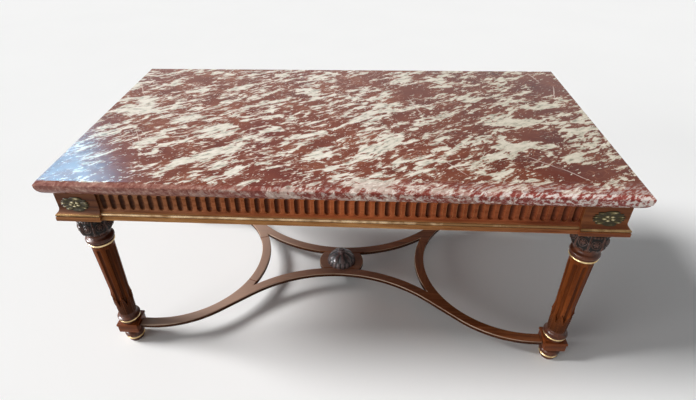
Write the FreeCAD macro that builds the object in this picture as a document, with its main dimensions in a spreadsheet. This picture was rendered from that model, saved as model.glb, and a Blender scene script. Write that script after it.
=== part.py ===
import FreeCAD, Part
import math
import os
import Sketcher

# Center table: marble slab on a fluted apron, turned legs with brass rings, curved stretcher.
# Millimetres, +Z up, +X along the table, origin on the floor under the middle of the slab.

SIZES = {
    "table_height": 500.0,
    "top_length": 1132.0,
    "top_width": 608.0,
    "top_thick": 37.0,
    "top_bevel": 7.0,
    "top_round": 28.0,
    "overhang": 11.0,
    "fit_gap": 0.2,
    "curve_gap": 0.3,
    "edge_ease": 2.0,
    "apron_height": 63.0,
    "block_width": 92.0,
    "rail_setback": 6.0,
    "rail_thick": 33.0,
    "tenon_length": 22.0,
    "tenon_thick": 12.0,
    "tenon_height": 30.0,
    "tenon_inset": 14.0,
    "fascia_height": 10.0,
    "bead_height": 6.5,
    "bead_seat": 3.0,
    "bead_radius": 3.4,
    "cove_height": 12.0,
    "cove_radius": 15.0,
    "frieze_setback": 9.0,
    "flute_start": 23.5,
    "flute_margin": 5.0,
    "flute_width": 9.5,
    "flute_floor": 5.0,
    "flute_depth": 3.2,
    "front_flutes": 48.0,
    "side_flutes": 21.0,
    "bearer_width": 60.0,
    "bearer_height": 25.0,
    "bearer_seat": 12.0,
    "bearer_place": 240.0,
    "rosette_width": 59.0,
    "rosette_height": 35.0,
    "rosette_thick": 4.0,
    "rosette_drop": 8.0,
    "rosette_lean": 2.5,
    "leg_tenon_width": 22.0,
    "leg_tenon_length": 40.0,
    "collar_radius": 30.0,
    "collar_height": 12.0,
    "bulb_radius": 32.0,
    "bulb_height": 45.0,
    "bulb_top_radius": 28.0,
    "neck_radius": 25.0,
    "neck_height": 9.0,
    "torus_radius": 31.0,
    "torus_height": 14.0,
    "ring_height": 5.0,
    "ring_thick": 3.0,
    "shaft_top_radius": 25.5,
    "shaft_foot_radius": 20.0,
    "shaft_plain": 12.0,
    "shaft_flutes": 8.0,
    "shaft_flute_mouth": 21.0,
    "shaft_flute_floor": 12.0,
    "shaft_flute_depth": 2.6,
    "sheath_radius": 21.3,
    "sheath_height": 59.0,
    "ankle_radius": 18.5,
    "ankle_height": 7.0,
    "base_radius": 26.5,
    "base_height": 10.0,
    "base_neck_radius": 22.5,
    "base_neck_height": 8.0,
    "plinth_width": 52.0,
    "plinth_height": 28.0,
    "plinth_chamfer": 2.5,
    "foot_height": 39.0,
    "foot_radius": 21.0,
    "foot_neck_radius": 16.0,
    "foot_shoulder": 12.0,
    "foot_seat_radius": 19.0,
    "foot_ring_level": 11.0,
    "foot_tread_radius": 17.0,
    "foot_tenon_width": 18.0,
    "foot_tenon_length": 9.0,
    "base_tenon_length": 12.0,
    "stretcher_width": 25.0,
    "stretcher_thick": 11.0,
    "stretcher_level": 45.0,
    "stretcher_lead": 18.0,
    "stretcher_tenon_length": 13.0,
    "stretcher_tenon_width": 15.0,
    "stretcher_tenon_height": 6.0,
    "stretcher_tenon_lift": 3.0,
    "fork_turn": 40.0,
    "seam_lap": 3.0,
    "arc_offset": 43.5,
    "hub_radius": 61.0,
    "finial_radius": 40.0,
    "finial_height": 41.0,
    "finial_edge": 5.0,
    "finial_ribs": 14.0,
    "finial_rib_depth": 0.08,
    "finial_rib_share": 0.5,
    "finial_bud_radius": 9.0,
    "finial_bud_height": 9.0,
    "spigot_radius": 6.0,
}

doc = FreeCAD.newDocument("center_table")
sheet = doc.addObject("Spreadsheet::Sheet", "sizes")
for row, (alias, number) in enumerate(SIZES.items(), start=1):
    sheet.set(f"A{row}", alias)
    sheet.set(f"B{row}", str(number))
    sheet.setAlias(f"B{row}", alias)
doc.recompute()


class Size:
    """A number together with the sheet expression that it comes from."""

    def __init__(self, value, text):
        self.value = value
        self.text = text

    def __add__(self, other):
        return combined(self, "+", other, self.value + value_of(other))

    def __sub__(self, other):
        return combined(self, "-", other, self.value - value_of(other))

    def __mul__(self, other):
        return combined(self, "*", other, self.value * value_of(other))

    def __truediv__(self, other):
        return combined(self, "/", other, self.value / value_of(other))


def value_of(number):
    """Give the plain number behind a size or a number."""
    return number.value if isinstance(number, Size) else float(number)


def text_of(number):
    """Give the sheet expression behind a size or a number."""
    return number.text if isinstance(number, Size) else repr(float(number))


def combined(left, sign, right, value):
    """Join two sizes into one with the matching expression."""
    return Size(value, f"({left.text} {sign} {text_of(right)})")


def size(alias):
    """Read one driving size from the sheet."""
    return Size(float(sheet.get(alias)), f"sizes.{alias}")


def bind(feature, path, number):
    """Tie a property of a feature to the sheet."""
    feature.setExpression(path, text_of(number))


# Places that several pieces share.
gap = size("fit_gap")
block_half = size("block_width") / 2
leg_x = size("top_length") / 2 - size("overhang") - block_half
leg_y = size("top_width") / 2 - size("overhang") - block_half
apron_top = size("table_height") - size("top_thick")
apron_bottom = apron_top - size("apron_height")
plinth_top = size("foot_height") + size("plinth_height")
plinth_half = size("plinth_width") / 2
bead_top = size("fascia_height") + size("bead_height")
cove_top = bead_top + size("cove_height")
frieze = size("frieze_setback")
stretcher_top = size("stretcher_level") + size("stretcher_thick")
front_rail_length = (leg_x - block_half) * 2
side_rail_length = (leg_y - block_half) * 2

pieces = {}


def new_body(name):
    """Start a body for one piece."""
    body = doc.addObject("PartDesign::Body", name)
    body.Label = name
    pieces[name] = body
    return body


def place(body, x, y, z):
    """Put a body's own origin at a place tied to the sheet."""
    for axis, number in zip("xyz", (x, y, z)):
        bind(body, f"Placement.Base.{axis}", number)


def new_sketch(body, plane, height=None):
    """Add a sketch on one of the body's own planes, raised by height where given."""
    sketch = body.newObject("Sketcher::SketchObject", f"{body.Name}_sketch")
    for feature in body.Origin.OriginFeatures:
        if feature.Role == plane:
            sketch.AttachmentSupport = [(feature, "")]
    sketch.MapMode = "FlatFace"
    if height is not None:
        bind(sketch, "AttachmentOffset.Base.z", height)
    return sketch


def arc_between(start, end, radius, side):
    """Make the short arc from start to end that bulges to the left (side 1) or right (side -1)."""
    chord = end - start
    middle = (start + end) / 2
    left = FreeCAD.Vector(-chord.y, chord.x, 0).normalize()
    reach = math.sqrt(max(radius ** 2 - (chord.Length / 2) ** 2, 0.0))
    centre = middle - left * side * reach
    first, last = (end, start) if side > 0 else (start, end)
    first_turn = math.atan2(first.y - centre.y, first.x - centre.x)
    last_turn = math.atan2(last.y - centre.y, last.x - centre.x)
    if last_turn < first_turn:
        last_turn += 2 * math.pi
    circle = Part.Circle(centre, FreeCAD.Vector(0, 0, 1), radius)
    return Part.ArcOfCircle(circle, first_turn, last_turn)


def fix_point(sketch, edge, end, across, up):
    """Hold one end of an edge at its distances from the sketch's origin."""
    for kind, number in (("DistanceX", across), ("DistanceY", up)):
        index = sketch.addConstraint(
            Sketcher.Constraint(kind, -1, 1, edge, end, value_of(number)))
        if isinstance(number, Size):
            bind(sketch, f"Constraints[{index}]", number)


def draw_outline(sketch, corners):
    """Draw a closed outline. A corner is (across, up) or (across, up, radius, side) of the edge after it."""
    spots = [FreeCAD.Vector(value_of(c[0]), value_of(c[1]), 0) for c in corners]
    first_edge = sketch.GeometryCount
    ends = []
    for number, corner in enumerate(corners):
        start = spots[number]
        end = spots[(number + 1) % len(corners)]
        if len(corner) == 2:
            edge = sketch.addGeometry(Part.LineSegment(start, end))
            ends.append((1, 2))
        else:
            edge = sketch.addGeometry(arc_between(start, end, value_of(corner[2]), corner[3]))
            ends.append((2, 1) if corner[3] > 0 else (1, 2))
            index = sketch.addConstraint(Sketcher.Constraint("Radius", edge, value_of(corner[2])))
            bind(sketch, f"Constraints[{index}]", corner[2])
    for number, corner in enumerate(corners):
        edge = first_edge + number
        before = first_edge + (number - 1) % len(corners)
        sketch.addConstraint(Sketcher.Constraint(
            "Coincident", before, ends[number - 1][1], edge, ends[number][0]))
        fix_point(sketch, edge, ends[number][0], corner[0], corner[1])


def rectangle(low_x, low_y, high_x, high_y):
    """List the corners of a rectangle."""
    return [(low_x, low_y), (high_x, low_y), (high_x, high_y), (low_x, high_y)]


def pad(body, sketch, length, middle=False):
    """Raise a sketch into a solid."""
    feature = body.newObject("PartDesign::Pad", f"{body.Name}_pad")
    feature.Profile = sketch
    bind(feature, "Length", length)
    feature.Midplane = middle
    return feature


def pocket(body, sketch, depth=None, upward=False):
    """Cut a sketch out of the body, right through where no depth is given."""
    feature = body.newObject("PartDesign::Pocket", f"{body.Name}_pocket")
    feature.Profile = sketch
    feature.Reversed = upward
    if depth is None:
        feature.Type = "ThroughAll"
    else:
        bind(feature, "Length", depth)
    return feature


def turned(body, outline):
    """Turn an outline of (radius, height) corners about the upright axis."""
    sketch = new_sketch(body, "XZ_Plane")
    draw_outline(sketch, outline)
    feature = body.newObject("PartDesign::Revolution", f"{body.Name}_turning")
    feature.Profile = sketch
    feature.ReferenceAxis = (sketch, ["V_Axis"])
    feature.Angle = 360
    return feature


def square(middle, width):
    """List the corners of a square about a middle that is the same both ways."""
    half = width / 2
    return rectangle(middle - half, middle - half, middle + half, middle + half)


def mirrored(name, source, normal):
    """Add the mirror image of a piece across the table's middle."""
    piece = doc.addObject("Part::Mirroring", name)
    piece.Label = name
    piece.Source = source
    piece.Normal = normal
    pieces[name] = piece
    return piece


ACROSS_LENGTH = FreeCAD.Vector(1, 0, 0)
ACROSS_WIDTH = FreeCAD.Vector(0, 1, 0)


def at_four_corners(stem, body):
    """Repeat a front left piece at the other three corners."""
    rear = mirrored(f"{stem}_rear_left", body, ACROSS_WIDTH)
    mirrored(f"{stem}_front_right", body, ACROSS_LENGTH)
    mirrored(f"{stem}_rear_right", rear, ACROSS_LENGTH)


def grouped(name, stem):
    """Gather the four like pieces of a stem into one node of separate solids."""
    group = doc.addObject("Part::Compound", name)
    group.Label = name
    group.Links = [pieces.pop(piece) for piece in list(pieces) if piece.startswith(f"{stem}_")]
    pieces[name] = group


# Marble slab: bevelled above, well rounded under.
def build_marble_top():
    body = new_body("marble_top")
    sketch = new_sketch(body, "XY_Plane")
    draw_outline(sketch, rectangle(0, 0, size("top_length"), size("top_width")))
    pad(body, sketch, size("top_thick"))
    doc.recompute()
    for kind, measure, height, reach in (
            ("Chamfer", "Size", value_of(size("top_thick")), size("top_bevel")),
            ("Fillet", "Radius", 0.0, size("top_round"))):
        base = body.Tip
        rim = [f"Edge{n}" for n, edge in enumerate(base.Shape.Edges, start=1)
               if all(abs(v.Z - height) < 0.001 for v in edge.Vertexes)]
        edge_dress = body.newObject(f"PartDesign::{kind}", f"marble_{kind.lower()}")
        edge_dress.Base = (base, rim)
        bind(edge_dress, measure, reach)
        doc.recompute()
    place(body, size("top_length") / -2, size("top_width") / -2, apron_top)


def moulding(start):
    """List the outer profile of apron pieces from the fascia up, as (inward, up) from a start depth."""
    return [
        (start, 0),
        (start, size("fascia_height")),
        (size("bead_seat") + start, size("fascia_height")),
        (size("bead_seat") + start, bead_top, size("cove_radius"), -1),
        (frieze + start, cove_top),
        (frieze + start, size("apron_height")),
    ]


# Apron rails: moulded profile, tenoned ends, a row of stopped flutes.
def build_rail(name, length, flutes, notched):
    body = new_body(name)
    thick = size("rail_thick")
    profile = new_sketch(body, "YZ_Plane")
    draw_outline(profile, moulding(0) + [(thick, size("apron_height")), (thick, 0)])
    pad(body, profile, length, middle=True)
    tenon = new_sketch(body, "YZ_Plane")
    inset = size("tenon_inset")
    tenon_top = cove_top + size("tenon_height")
    draw_outline(tenon, rectangle(inset, cove_top, inset + size("tenon_thick"), tenon_top))
    pad(body, tenon, length + size("tenon_length") * 2, middle=True)
    pitch = length / flutes
    first = (pitch - length) / 2
    half_mouth = size("flute_width") / 2
    half_floor = size("flute_floor") / 2
    deep = frieze + size("flute_depth")
    flute = new_sketch(body, "XY_Plane", size("flute_start"))
    draw_outline(flute, [
        (first - half_mouth, size("bead_seat")), (first + half_mouth, size("bead_seat")),
        (first + half_mouth, frieze), (first + half_floor, deep),
        (first - half_floor, deep), (first - half_mouth, frieze)])
    flute_height = size("apron_height") - size("flute_start") - size("flute_margin")
    first_flute = pocket(body, flute, flute_height, upward=True)
    row = body.newObject("PartDesign::LinearPattern", f"{name}_flutes")
    row.Originals = [first_flute]
    row.Direction = (flute, ["H_Axis"])
    bind(row, "Length", length - pitch)
    bind(row, "Occurrences", flutes)
    body.Tip = row
    if notched:
        notch = new_sketch(body, "XY_Plane", size("apron_height"))
        half = size("bearer_width") / 2 + gap
        for side in (-1, 1):
            middle = size("bearer_place") * side
            seat = thick - size("bearer_seat") - gap
            draw_outline(notch, rectangle(middle - half, seat, middle + half, thick))
        pocket(body, notch, size("bearer_height"))
    return body


def build_rails():
    outer = block_half - size("rail_setback")
    front = build_rail("front_rail", front_rail_length, size("front_flutes"), True)
    place(front, 0, (leg_y + outer) * -1, apron_bottom)
    mirrored("rear_rail", front, ACROSS_WIDTH)
    left = build_rail("left_rail", side_rail_length, size("side_flutes"), False)
    left.Placement.Rotation = FreeCAD.Rotation(FreeCAD.Vector(0, 0, 1), -90)
    place(left, (leg_x + outer) * -1, 0, apron_bottom)
    mirrored("right_rail", left, ACROSS_LENGTH)


# Half-round brass bead in the seat above the fascia.
def bead_outline(back):
    """List the bead's section: round in front, flat against the seat, closed at the given back."""
    low = size("fascia_height")
    return [(back, low), (size("bead_seat"), low, size("bead_radius"), 1), (size("bead_seat"), bead_top),
            (back, bead_top)]


def build_rail_beads():
    outer = block_half - size("rail_setback")
    front = new_body("front_bead")
    side = new_body("left_bead")
    for body, length in ((front, front_rail_length), (side, side_rail_length)):
        section = new_sketch(body, "YZ_Plane")
        draw_outline(section, bead_outline(size("bead_seat"))[1:3])
        pad(body, section, length, middle=True)
    place(front, 0, (leg_y + outer) * -1, apron_bottom)
    mirrored("rear_bead", front, ACROSS_WIDTH)
    side.Placement.Rotation = FreeCAD.Rotation(FreeCAD.Vector(0, 0, 1), -90)
    place(side, (leg_x + outer) * -1, 0, apron_bottom)
    mirrored("right_bead", side, ACROSS_LENGTH)


# Corner blocks: the moulding turns the outer corner, mortises take the rails, a bore takes the leg.
def build_corner_blocks():
    body = new_body("corner_block_front_left")
    width = size("block_width")
    front = new_sketch(body, "YZ_Plane")
    draw_outline(front, moulding(0) + [(width, size("apron_height")), (width, 0)])
    pad(body, front, width)
    end = new_sketch(body, "XZ_Plane")
    draw_outline(end, moulding(0)[1:] + [(0, size("apron_height"))])
    pocket(body, end)
    near = size("rail_setback") + size("tenon_inset") - gap
    far = near + size("tenon_thick") + gap * 2
    low = cove_top - gap
    high = cove_top + size("tenon_height") + gap
    depth = size("tenon_length") + gap
    for plane in ("YZ_Plane", "XZ_Plane"):
        mortise = new_sketch(body, plane, width if plane == "YZ_Plane" else width * -1)
        draw_outline(mortise, rectangle(near, low, far, high))
        pocket(body, mortise, depth, upward=plane == "XZ_Plane")
    socket = new_sketch(body, "XY_Plane")
    draw_outline(socket, square(block_half, size("leg_tenon_width") + gap * 2))
    pocket(body, socket, size("leg_tenon_length") + gap, upward=True)
    place(body, (leg_x + block_half) * -1, (leg_y + block_half) * -1, apron_bottom)
    at_four_corners("corner_block", body)


def draw_circle(sketch, across, up, radius):
    """Draw one circle held by its centre and radius."""
    centre = FreeCAD.Vector(value_of(across), value_of(up), 0)
    edge = sketch.addGeometry(Part.Circle(centre, FreeCAD.Vector(0, 0, 1), value_of(radius)))
    index = sketch.addConstraint(Sketcher.Constraint("Radius", edge, value_of(radius)))
    bind(sketch, f"Constraints[{index}]", radius)
    fix_point(sketch, edge, 3, across, up)


def build_block_beads():
    body = new_body("block_bead_front_left")
    width = size("block_width")
    section = new_sketch(body, "YZ_Plane")
    draw_outline(section, bead_outline(width))
    pad(body, section, width)
    end = new_sketch(body, "XZ_Plane")
    draw_outline(end, bead_outline(0))
    pocket(body, end)
    inside = new_sketch(body, "XY_Plane", bead_top)
    draw_outline(inside, rectangle(size("bead_seat"), size("bead_seat"), width, width))
    pocket(body, inside)
    place(body, (leg_x + block_half) * -1, (leg_y + block_half) * -1, apron_bottom)
    at_four_corners("block_bead", body)


# Oval rosettes on the two outer faces of each block, their backs cut away where they hang over the cove.
def build_rosettes():
    below = size("rosette_height") / 2
    seat = size("rosette_drop") - below
    level = apron_bottom + cove_top - seat
    face_x = (leg_x + block_half - frieze) * -1
    face_y = (leg_y + block_half - frieze) * -1
    half_wide = value_of(size("rosette_width") / 2)
    half_high = value_of(size("rosette_height") / 2)
    for stem, x, y, turn in (
            ("face_rosette", leg_x * -1, face_y, 0),
            ("end_rosette", face_x, leg_y * -1, -90)):
        body = new_body(f"{stem}_front_left")
        sketch = new_sketch(body, "XZ_Plane")
        sketch.addGeometry(Part.Ellipse(
            FreeCAD.Vector(half_wide, 0, 0), FreeCAD.Vector(0, half_high, 0), FreeCAD.Vector(0, 0, 0)))
        pad(body, sketch, size("rosette_thick"))
        back = new_sketch(body, "YZ_Plane", size("rosette_width") / 2)
        draw_outline(back, [(0, seat), (size("rosette_lean") * -1, below * -1), (0, below * -1)])
        pocket(body, back)
        body.Placement.Rotation = FreeCAD.Rotation(FreeCAD.Vector(0, 0, 1), turn)
        place(body, x, y, level)
        at_four_corners(stem, body)
        grouped(f"{stem}s", stem)


# Turned leg: collar, bulb, neck, torus, fluted tapering shaft, leaf sheath, base, square tenons at both ends.
def build_legs():
    body = new_body("leg_front_left")
    collar_low = apron_bottom - size("collar_height")
    bulb_low = collar_low - size("bulb_height")
    torus_top = bulb_low - size("neck_height")
    torus_low = torus_top - size("torus_height")
    flute_top = torus_low - size("ring_height") - size("shaft_plain")
    ring_top = plinth_top + size("base_neck_height") + size("ring_height")
    base_top = ring_top + size("base_height")
    sheath_low = base_top + size("ankle_height")
    sheath_top = sheath_low + size("sheath_height")
    core = size("shaft_foot_radius") - size("shaft_flute_depth") * 2
    ease = size("edge_ease")
    turned(body, [
        (0, plinth_top),
        (size("base_neck_radius"), plinth_top),
        (size("base_neck_radius"), ring_top),
        (size("base_radius"), ring_top),
        (size("base_radius"), base_top - ease * 2),
        (size("ankle_radius") + ease, base_top),
        (size("ankle_radius"), sheath_low),
        (size("sheath_radius"), sheath_low + size("sheath_height") / 3),
        (size("sheath_radius"), sheath_top),
        (core, sheath_top),
        (core, flute_top),
        (size("shaft_top_radius"), flute_top),
        (size("shaft_top_radius"), torus_low),
        (size("torus_radius") - ease, torus_low),
        (size("torus_radius"), torus_low + ease * 2),
        (size("torus_radius") - ease / 2, torus_top - ease * 2),
        (size("neck_radius") + ease / 2, torus_top),
        (size("neck_radius"), bulb_low),
        (size("bulb_radius") - ease * 2, bulb_low + size("bulb_height") / 4),
        (size("bulb_radius"), bulb_low + size("bulb_height") / 2),
        (size("bulb_radius") - ease / 2, collar_low - size("bulb_height") / 4),
        (size("bulb_top_radius"), collar_low),
        (size("collar_radius"), collar_low),
        (size("collar_radius"), apron_bottom),
        (0, apron_bottom),
    ])
    low = fluted_section(body, size("shaft_foot_radius"), sheath_top)
    high = fluted_section(body, size("shaft_top_radius"), flute_top)
    shaft = body.newObject("PartDesign::AdditiveLoft", "leg_shaft")
    shaft.Profile = low
    shaft.Sections = [high]
    shaft.Ruled = True
    foot_tenon = new_sketch(body, "XY_Plane", plinth_top - size("base_tenon_length"))
    draw_outline(foot_tenon, square(size("foot_tenon_width") * 0, size("foot_tenon_width")))
    pad(body, foot_tenon, size("base_tenon_length"))
    head_tenon = new_sketch(body, "XY_Plane", apron_bottom)
    draw_outline(head_tenon, square(size("leg_tenon_width") * 0, size("leg_tenon_width")))
    pad(body, head_tenon, size("leg_tenon_length"))
    place(body, leg_x * -1, leg_y * -1, 0)
    at_four_corners("leg", body)
    grouped("legs", "leg")
    build_rings("upper_ring", size("shaft_top_radius"), torus_low - size("ring_height"))
    build_rings("lower_ring", size("base_neck_radius"), ring_top - size("ring_height"))


def fluted_section(body, radius, height):
    """Draw the shaft's section: flat-floored flutes between ridges of two facets."""
    sketch = new_sketch(body, "XY_Plane", height)
    outer = value_of(radius)
    inner = outer - value_of(size("shaft_flute_depth"))
    count = round(value_of(size("shaft_flutes")))
    step = 2 * math.pi / count
    mouth = math.radians(value_of(size("shaft_flute_mouth"))) / 2
    floor = math.radians(value_of(size("shaft_flute_floor"))) / 2
    spots = []
    for number in range(count):
        for reach, turn in (
                (outer, -mouth), (inner, -floor), (inner, floor), (outer, mouth), (outer, step / 2)):
            angle = number * step + turn
            spots.append(FreeCAD.Vector(reach * math.cos(angle), reach * math.sin(angle), 0))
    close_polygon(sketch, spots)
    return sketch


def close_polygon(sketch, spots):
    """Draw the closed polygon through a list of points."""
    for start, end in zip(spots, spots[1:] + spots[:1]):
        sketch.addGeometry(Part.LineSegment(start, end))


# Brass rings: a plain bore and two bevels that meet in a rounded-over edge.
def build_rings(stem, seat_radius, level):
    body = new_body(f"{stem}_front_left")
    inner = seat_radius + gap
    outer = inner + size("ring_thick")
    turned(body, [
        (inner, level), (outer, level + size("ring_height") / 2), (inner, level + size("ring_height"))])
    place(body, leg_x * -1, leg_y * -1, 0)
    at_four_corners(stem, body)
    grouped(f"{stem}s", stem)


# Square plinth under each leg, mortised for the leg, the foot and the stretcher.
def build_plinths():
    body = new_body("plinth_front_left")
    width = size("plinth_width")
    sketch = new_sketch(body, "XY_Plane")
    draw_outline(sketch, rectangle(0, 0, width, width))
    block = pad(body, sketch, size("plinth_height"))
    doc.recompute()
    rims = [f"Edge{n}" for n, edge in enumerate(block.Shape.Edges, start=1)
            if abs(edge.Vertexes[0].Z - edge.Vertexes[-1].Z) < 0.001]
    bevel = body.newObject("PartDesign::Chamfer", "plinth_bevel")
    bevel.Base = (block, rims)
    bind(bevel, "Size", size("plinth_chamfer"))
    doc.recompute()
    socket = new_sketch(body, "XY_Plane")
    draw_outline(socket, square(plinth_half, size("foot_tenon_width") + gap * 2))
    pocket(body, socket, upward=True)
    low = size("stretcher_level") + size("stretcher_tenon_lift") - size("foot_height") - gap
    half = size("stretcher_tenon_width") / 2 + gap
    mortise = new_sketch(body, "YZ_Plane", width)
    draw_outline(mortise, rectangle(
        plinth_half - half, low, plinth_half + half, low + size("stretcher_tenon_height") + gap * 2))
    pocket(body, mortise, size("stretcher_tenon_length") + gap)
    place(body, (leg_x + plinth_half) * -1, (leg_y + plinth_half) * -1, size("foot_height"))
    at_four_corners("plinth", body)


# Bun foot with a seat for its brass ring and a square tenon into the plinth.
def build_feet():
    body = new_body("bun_foot_front_left")
    height = size("foot_height")
    ring_low = size("foot_ring_level")
    ring_high = ring_low + size("ring_height")
    ease = size("edge_ease")
    turned(body, [
        (0, 0), (size("foot_tread_radius"), 0),
        (size("foot_seat_radius"), ring_low), (size("foot_seat_radius"), ring_high),
        (size("foot_radius"), ring_high), (size("foot_radius") + ease, ring_high + size("foot_shoulder") / 2),
        (size("foot_radius"), height - size("foot_shoulder")),
        (size("foot_neck_radius"), height), (0, height)])
    tenon = new_sketch(body, "XY_Plane", height)
    draw_outline(tenon, square(size("foot_tenon_width") * 0, size("foot_tenon_width")))
    pad(body, tenon, size("foot_tenon_length"))
    place(body, leg_x * -1, leg_y * -1, 0)
    at_four_corners("bun_foot", body)
    grouped("bun_feet", "bun_foot")
    build_rings("foot_ring", size("foot_seat_radius"), ring_low)


# Plan of the stretcher. Each end arc is half a circle about a point on the table's middle line, tangent to
# the arms that leave the plinths. Each long arc leaves that circle at the fork, runs straight, then bends
# the other way to pass the hub.
class StretcherPlan:
    def __init__(self):
        self.half = value_of(size("stretcher_width")) / 2
        self.shoulder = value_of(leg_x - plinth_half)
        self.bend = value_of(leg_y)
        self.centre = self.shoulder - value_of(size("stretcher_lead"))
        self.turn = math.radians(value_of(size("fork_turn")))
        offset = value_of(size("arc_offset"))
        across = self.centre - self.bend * math.sin(self.turn)
        inward = self.bend * math.cos(self.turn) - offset
        versine = 1 - math.cos(self.turn)
        spread = math.sin(self.turn) ** 2 - math.cos(self.turn) * versine
        self.straight = (inward * math.sin(self.turn) - across * versine) / spread
        self.sweep = (across - self.straight * math.cos(self.turn)) / math.sin(self.turn)
        self.sweep_centre = -offset - self.sweep
        self.near = self.bend + self.half
        self.far = self.bend - self.half
        self.sweep_far = self.sweep + self.half
        self.sweep_near = self.sweep - self.half
        self.crotch_reach = math.sqrt(self.near ** 2 - self.far ** 2)
        self.crotch = self.find_crotch()
        self.crotch_turn = math.atan2(self.centre - self.crotch.x, -self.crotch.y)
        self.seam = self.crotch_turn + math.radians(value_of(size("seam_lap")))

    def on_bend(self, radius, turn):
        """Give a point on the end circle, turned from the arm by an angle."""
        return FreeCAD.Vector(self.centre - radius * math.sin(turn), -radius * math.cos(turn), 0)

    def on_sweep(self, radius, turn):
        """Give a point on the circle of the long arc's middle, turned from the middle line."""
        return FreeCAD.Vector(radius * math.sin(turn), self.sweep_centre + radius * math.cos(turn), 0)

    def find_crotch(self):
        """Find the point where the long arc and the end arc part."""
        if self.crotch_reach < self.straight:
            slope = FreeCAD.Vector(-math.cos(self.turn), math.sin(self.turn), 0)
            return self.on_bend(self.far, self.turn) + slope * self.crotch_reach
        apart = math.hypot(self.centre, self.sweep_centre)
        angle = math.acos((apart ** 2 + self.sweep_far ** 2 - self.near ** 2) / (2 * apart * self.sweep_far))
        return self.on_sweep(self.sweep_far, math.atan2(self.centre, -self.sweep_centre) - angle)

    def long_arc(self):
        """Give the outline of the front long arc with its arms and forks."""
        near = self.near
        far = self.far
        seam = self.seam
        end_near = self.on_sweep(self.sweep_near, self.turn)
        arm_far = FreeCAD.Vector(self.shoulder, -far, 0)
        arm_near = FreeCAD.Vector(self.shoulder, -near, 0)
        right = [
            Part.LineSegment(arm_near, arm_far),
            Part.LineSegment(arm_far, self.on_bend(far, 0)),
            Part.Arc(self.on_bend(far, 0), self.on_bend(far, seam / 2), self.on_bend(far, seam)),
            Part.LineSegment(self.on_bend(far, seam), self.on_bend(near, seam)),
            Part.Arc(
                self.on_bend(near, seam), self.on_bend(near, (seam + self.crotch_turn) / 2), self.crotch),
            Part.LineSegment(end_near, self.on_bend(near, self.turn)),
            Part.Arc(self.on_bend(near, self.turn), self.on_bend(near, self.turn / 2), self.on_bend(near, 0)),
            Part.LineSegment(self.on_bend(near, 0), arm_near),
        ]
        sweep_start = self.crotch
        if self.crotch_reach < self.straight:
            sweep_start = self.on_sweep(self.sweep_far, self.turn)
            right.append(Part.LineSegment(self.crotch, sweep_start))
        middle_far = Part.Arc(sweep_start, self.on_sweep(self.sweep_far, 0), flipped(sweep_start))
        middle_near = Part.Arc(flipped(end_near), self.on_sweep(self.sweep_near, 0), end_near)
        return right + [flipped_edge(edge) for edge in right] + [middle_far, middle_near]

    def end_arc(self):
        """Give the outline of the right end arc between its two seams."""
        first = self.seam
        middle = math.pi / 2
        last = math.pi - first
        near = [self.on_bend(self.near, turn) for turn in (first, middle, last)]
        far = [self.on_bend(self.far, turn) for turn in (last, middle, first)]
        return [
            Part.Arc(*near), Part.LineSegment(near[2], far[0]),
            Part.Arc(*far), Part.LineSegment(far[2], near[0])]

    def hub(self):
        """Give the outline of the board between the long arcs."""
        side = value_of(size("hub_radius"))
        edge = self.sweep_far + value_of(size("curve_gap"))
        reach = -self.sweep_centre
        corner_y = (edge ** 2 - side ** 2 - reach ** 2) / (2 * reach)
        corner = FreeCAD.Vector(math.sqrt(side ** 2 - corner_y ** 2), corner_y, 0)
        rear_corner = FreeCAD.Vector(corner.x, -corner.y, 0)
        front = Part.Arc(flipped(corner), self.on_sweep(edge, 0), corner)
        right = Part.Arc(corner, FreeCAD.Vector(side, 0, 0), rear_corner)
        rear = Part.Arc(rear_corner, self.on_sweep(edge, 0) * -1, corner * -1)
        return [front, right, rear, flipped_edge(right)]


def flipped(spot):
    """Mirror a point across the table's length."""
    return FreeCAD.Vector(-spot.x, spot.y, spot.z)


def flipped_edge(edge):
    """Mirror a line or an arc across the table's length."""
    if isinstance(edge, Part.LineSegment):
        return Part.LineSegment(flipped(edge.EndPoint), flipped(edge.StartPoint))
    middle = edge.value((edge.FirstParameter + edge.LastParameter) / 2)
    return Part.Arc(flipped(edge.EndPoint), flipped(middle), flipped(edge.StartPoint))


def board(name, outline):
    """Raise a flat board from its plan outline."""
    body = new_body(name)
    sketch = new_sketch(body, "XY_Plane")
    for edge in outline:
        sketch.addGeometry(edge)
    pad(body, sketch, size("stretcher_thick"))
    place(body, 0, 0, size("stretcher_level"))
    return body


# Flat stretcher: long arcs tenoned into the plinths, end arcs glued between their forks, hub in the middle.
def build_stretcher():
    plan = StretcherPlan()
    front = board("front_stretcher", plan.long_arc())
    shoulder = leg_x - plinth_half
    reach = size("stretcher_tenon_length")
    half = size("stretcher_tenon_width") / 2
    tenons = new_sketch(front, "XY_Plane", size("stretcher_tenon_lift"))
    for side in (-1, 1):
        draw_outline(tenons, rectangle(
            (shoulder - reach) * side, leg_y * -1 - half, (shoulder + reach) * side, leg_y * -1 + half))
    pad(front, tenons, size("stretcher_tenon_height"))
    mirrored("rear_stretcher", front, ACROSS_WIDTH)
    right = board("right_end_stretcher", plan.end_arc())
    mirrored("left_end_stretcher", right, ACROSS_LENGTH)
    hub = board("stretcher_hub", plan.hub())
    hole = new_sketch(hub, "XY_Plane")
    draw_circle(hole, 0, 0, size("spigot_radius") + gap)
    pocket(hub, hole, upward=True)


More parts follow.
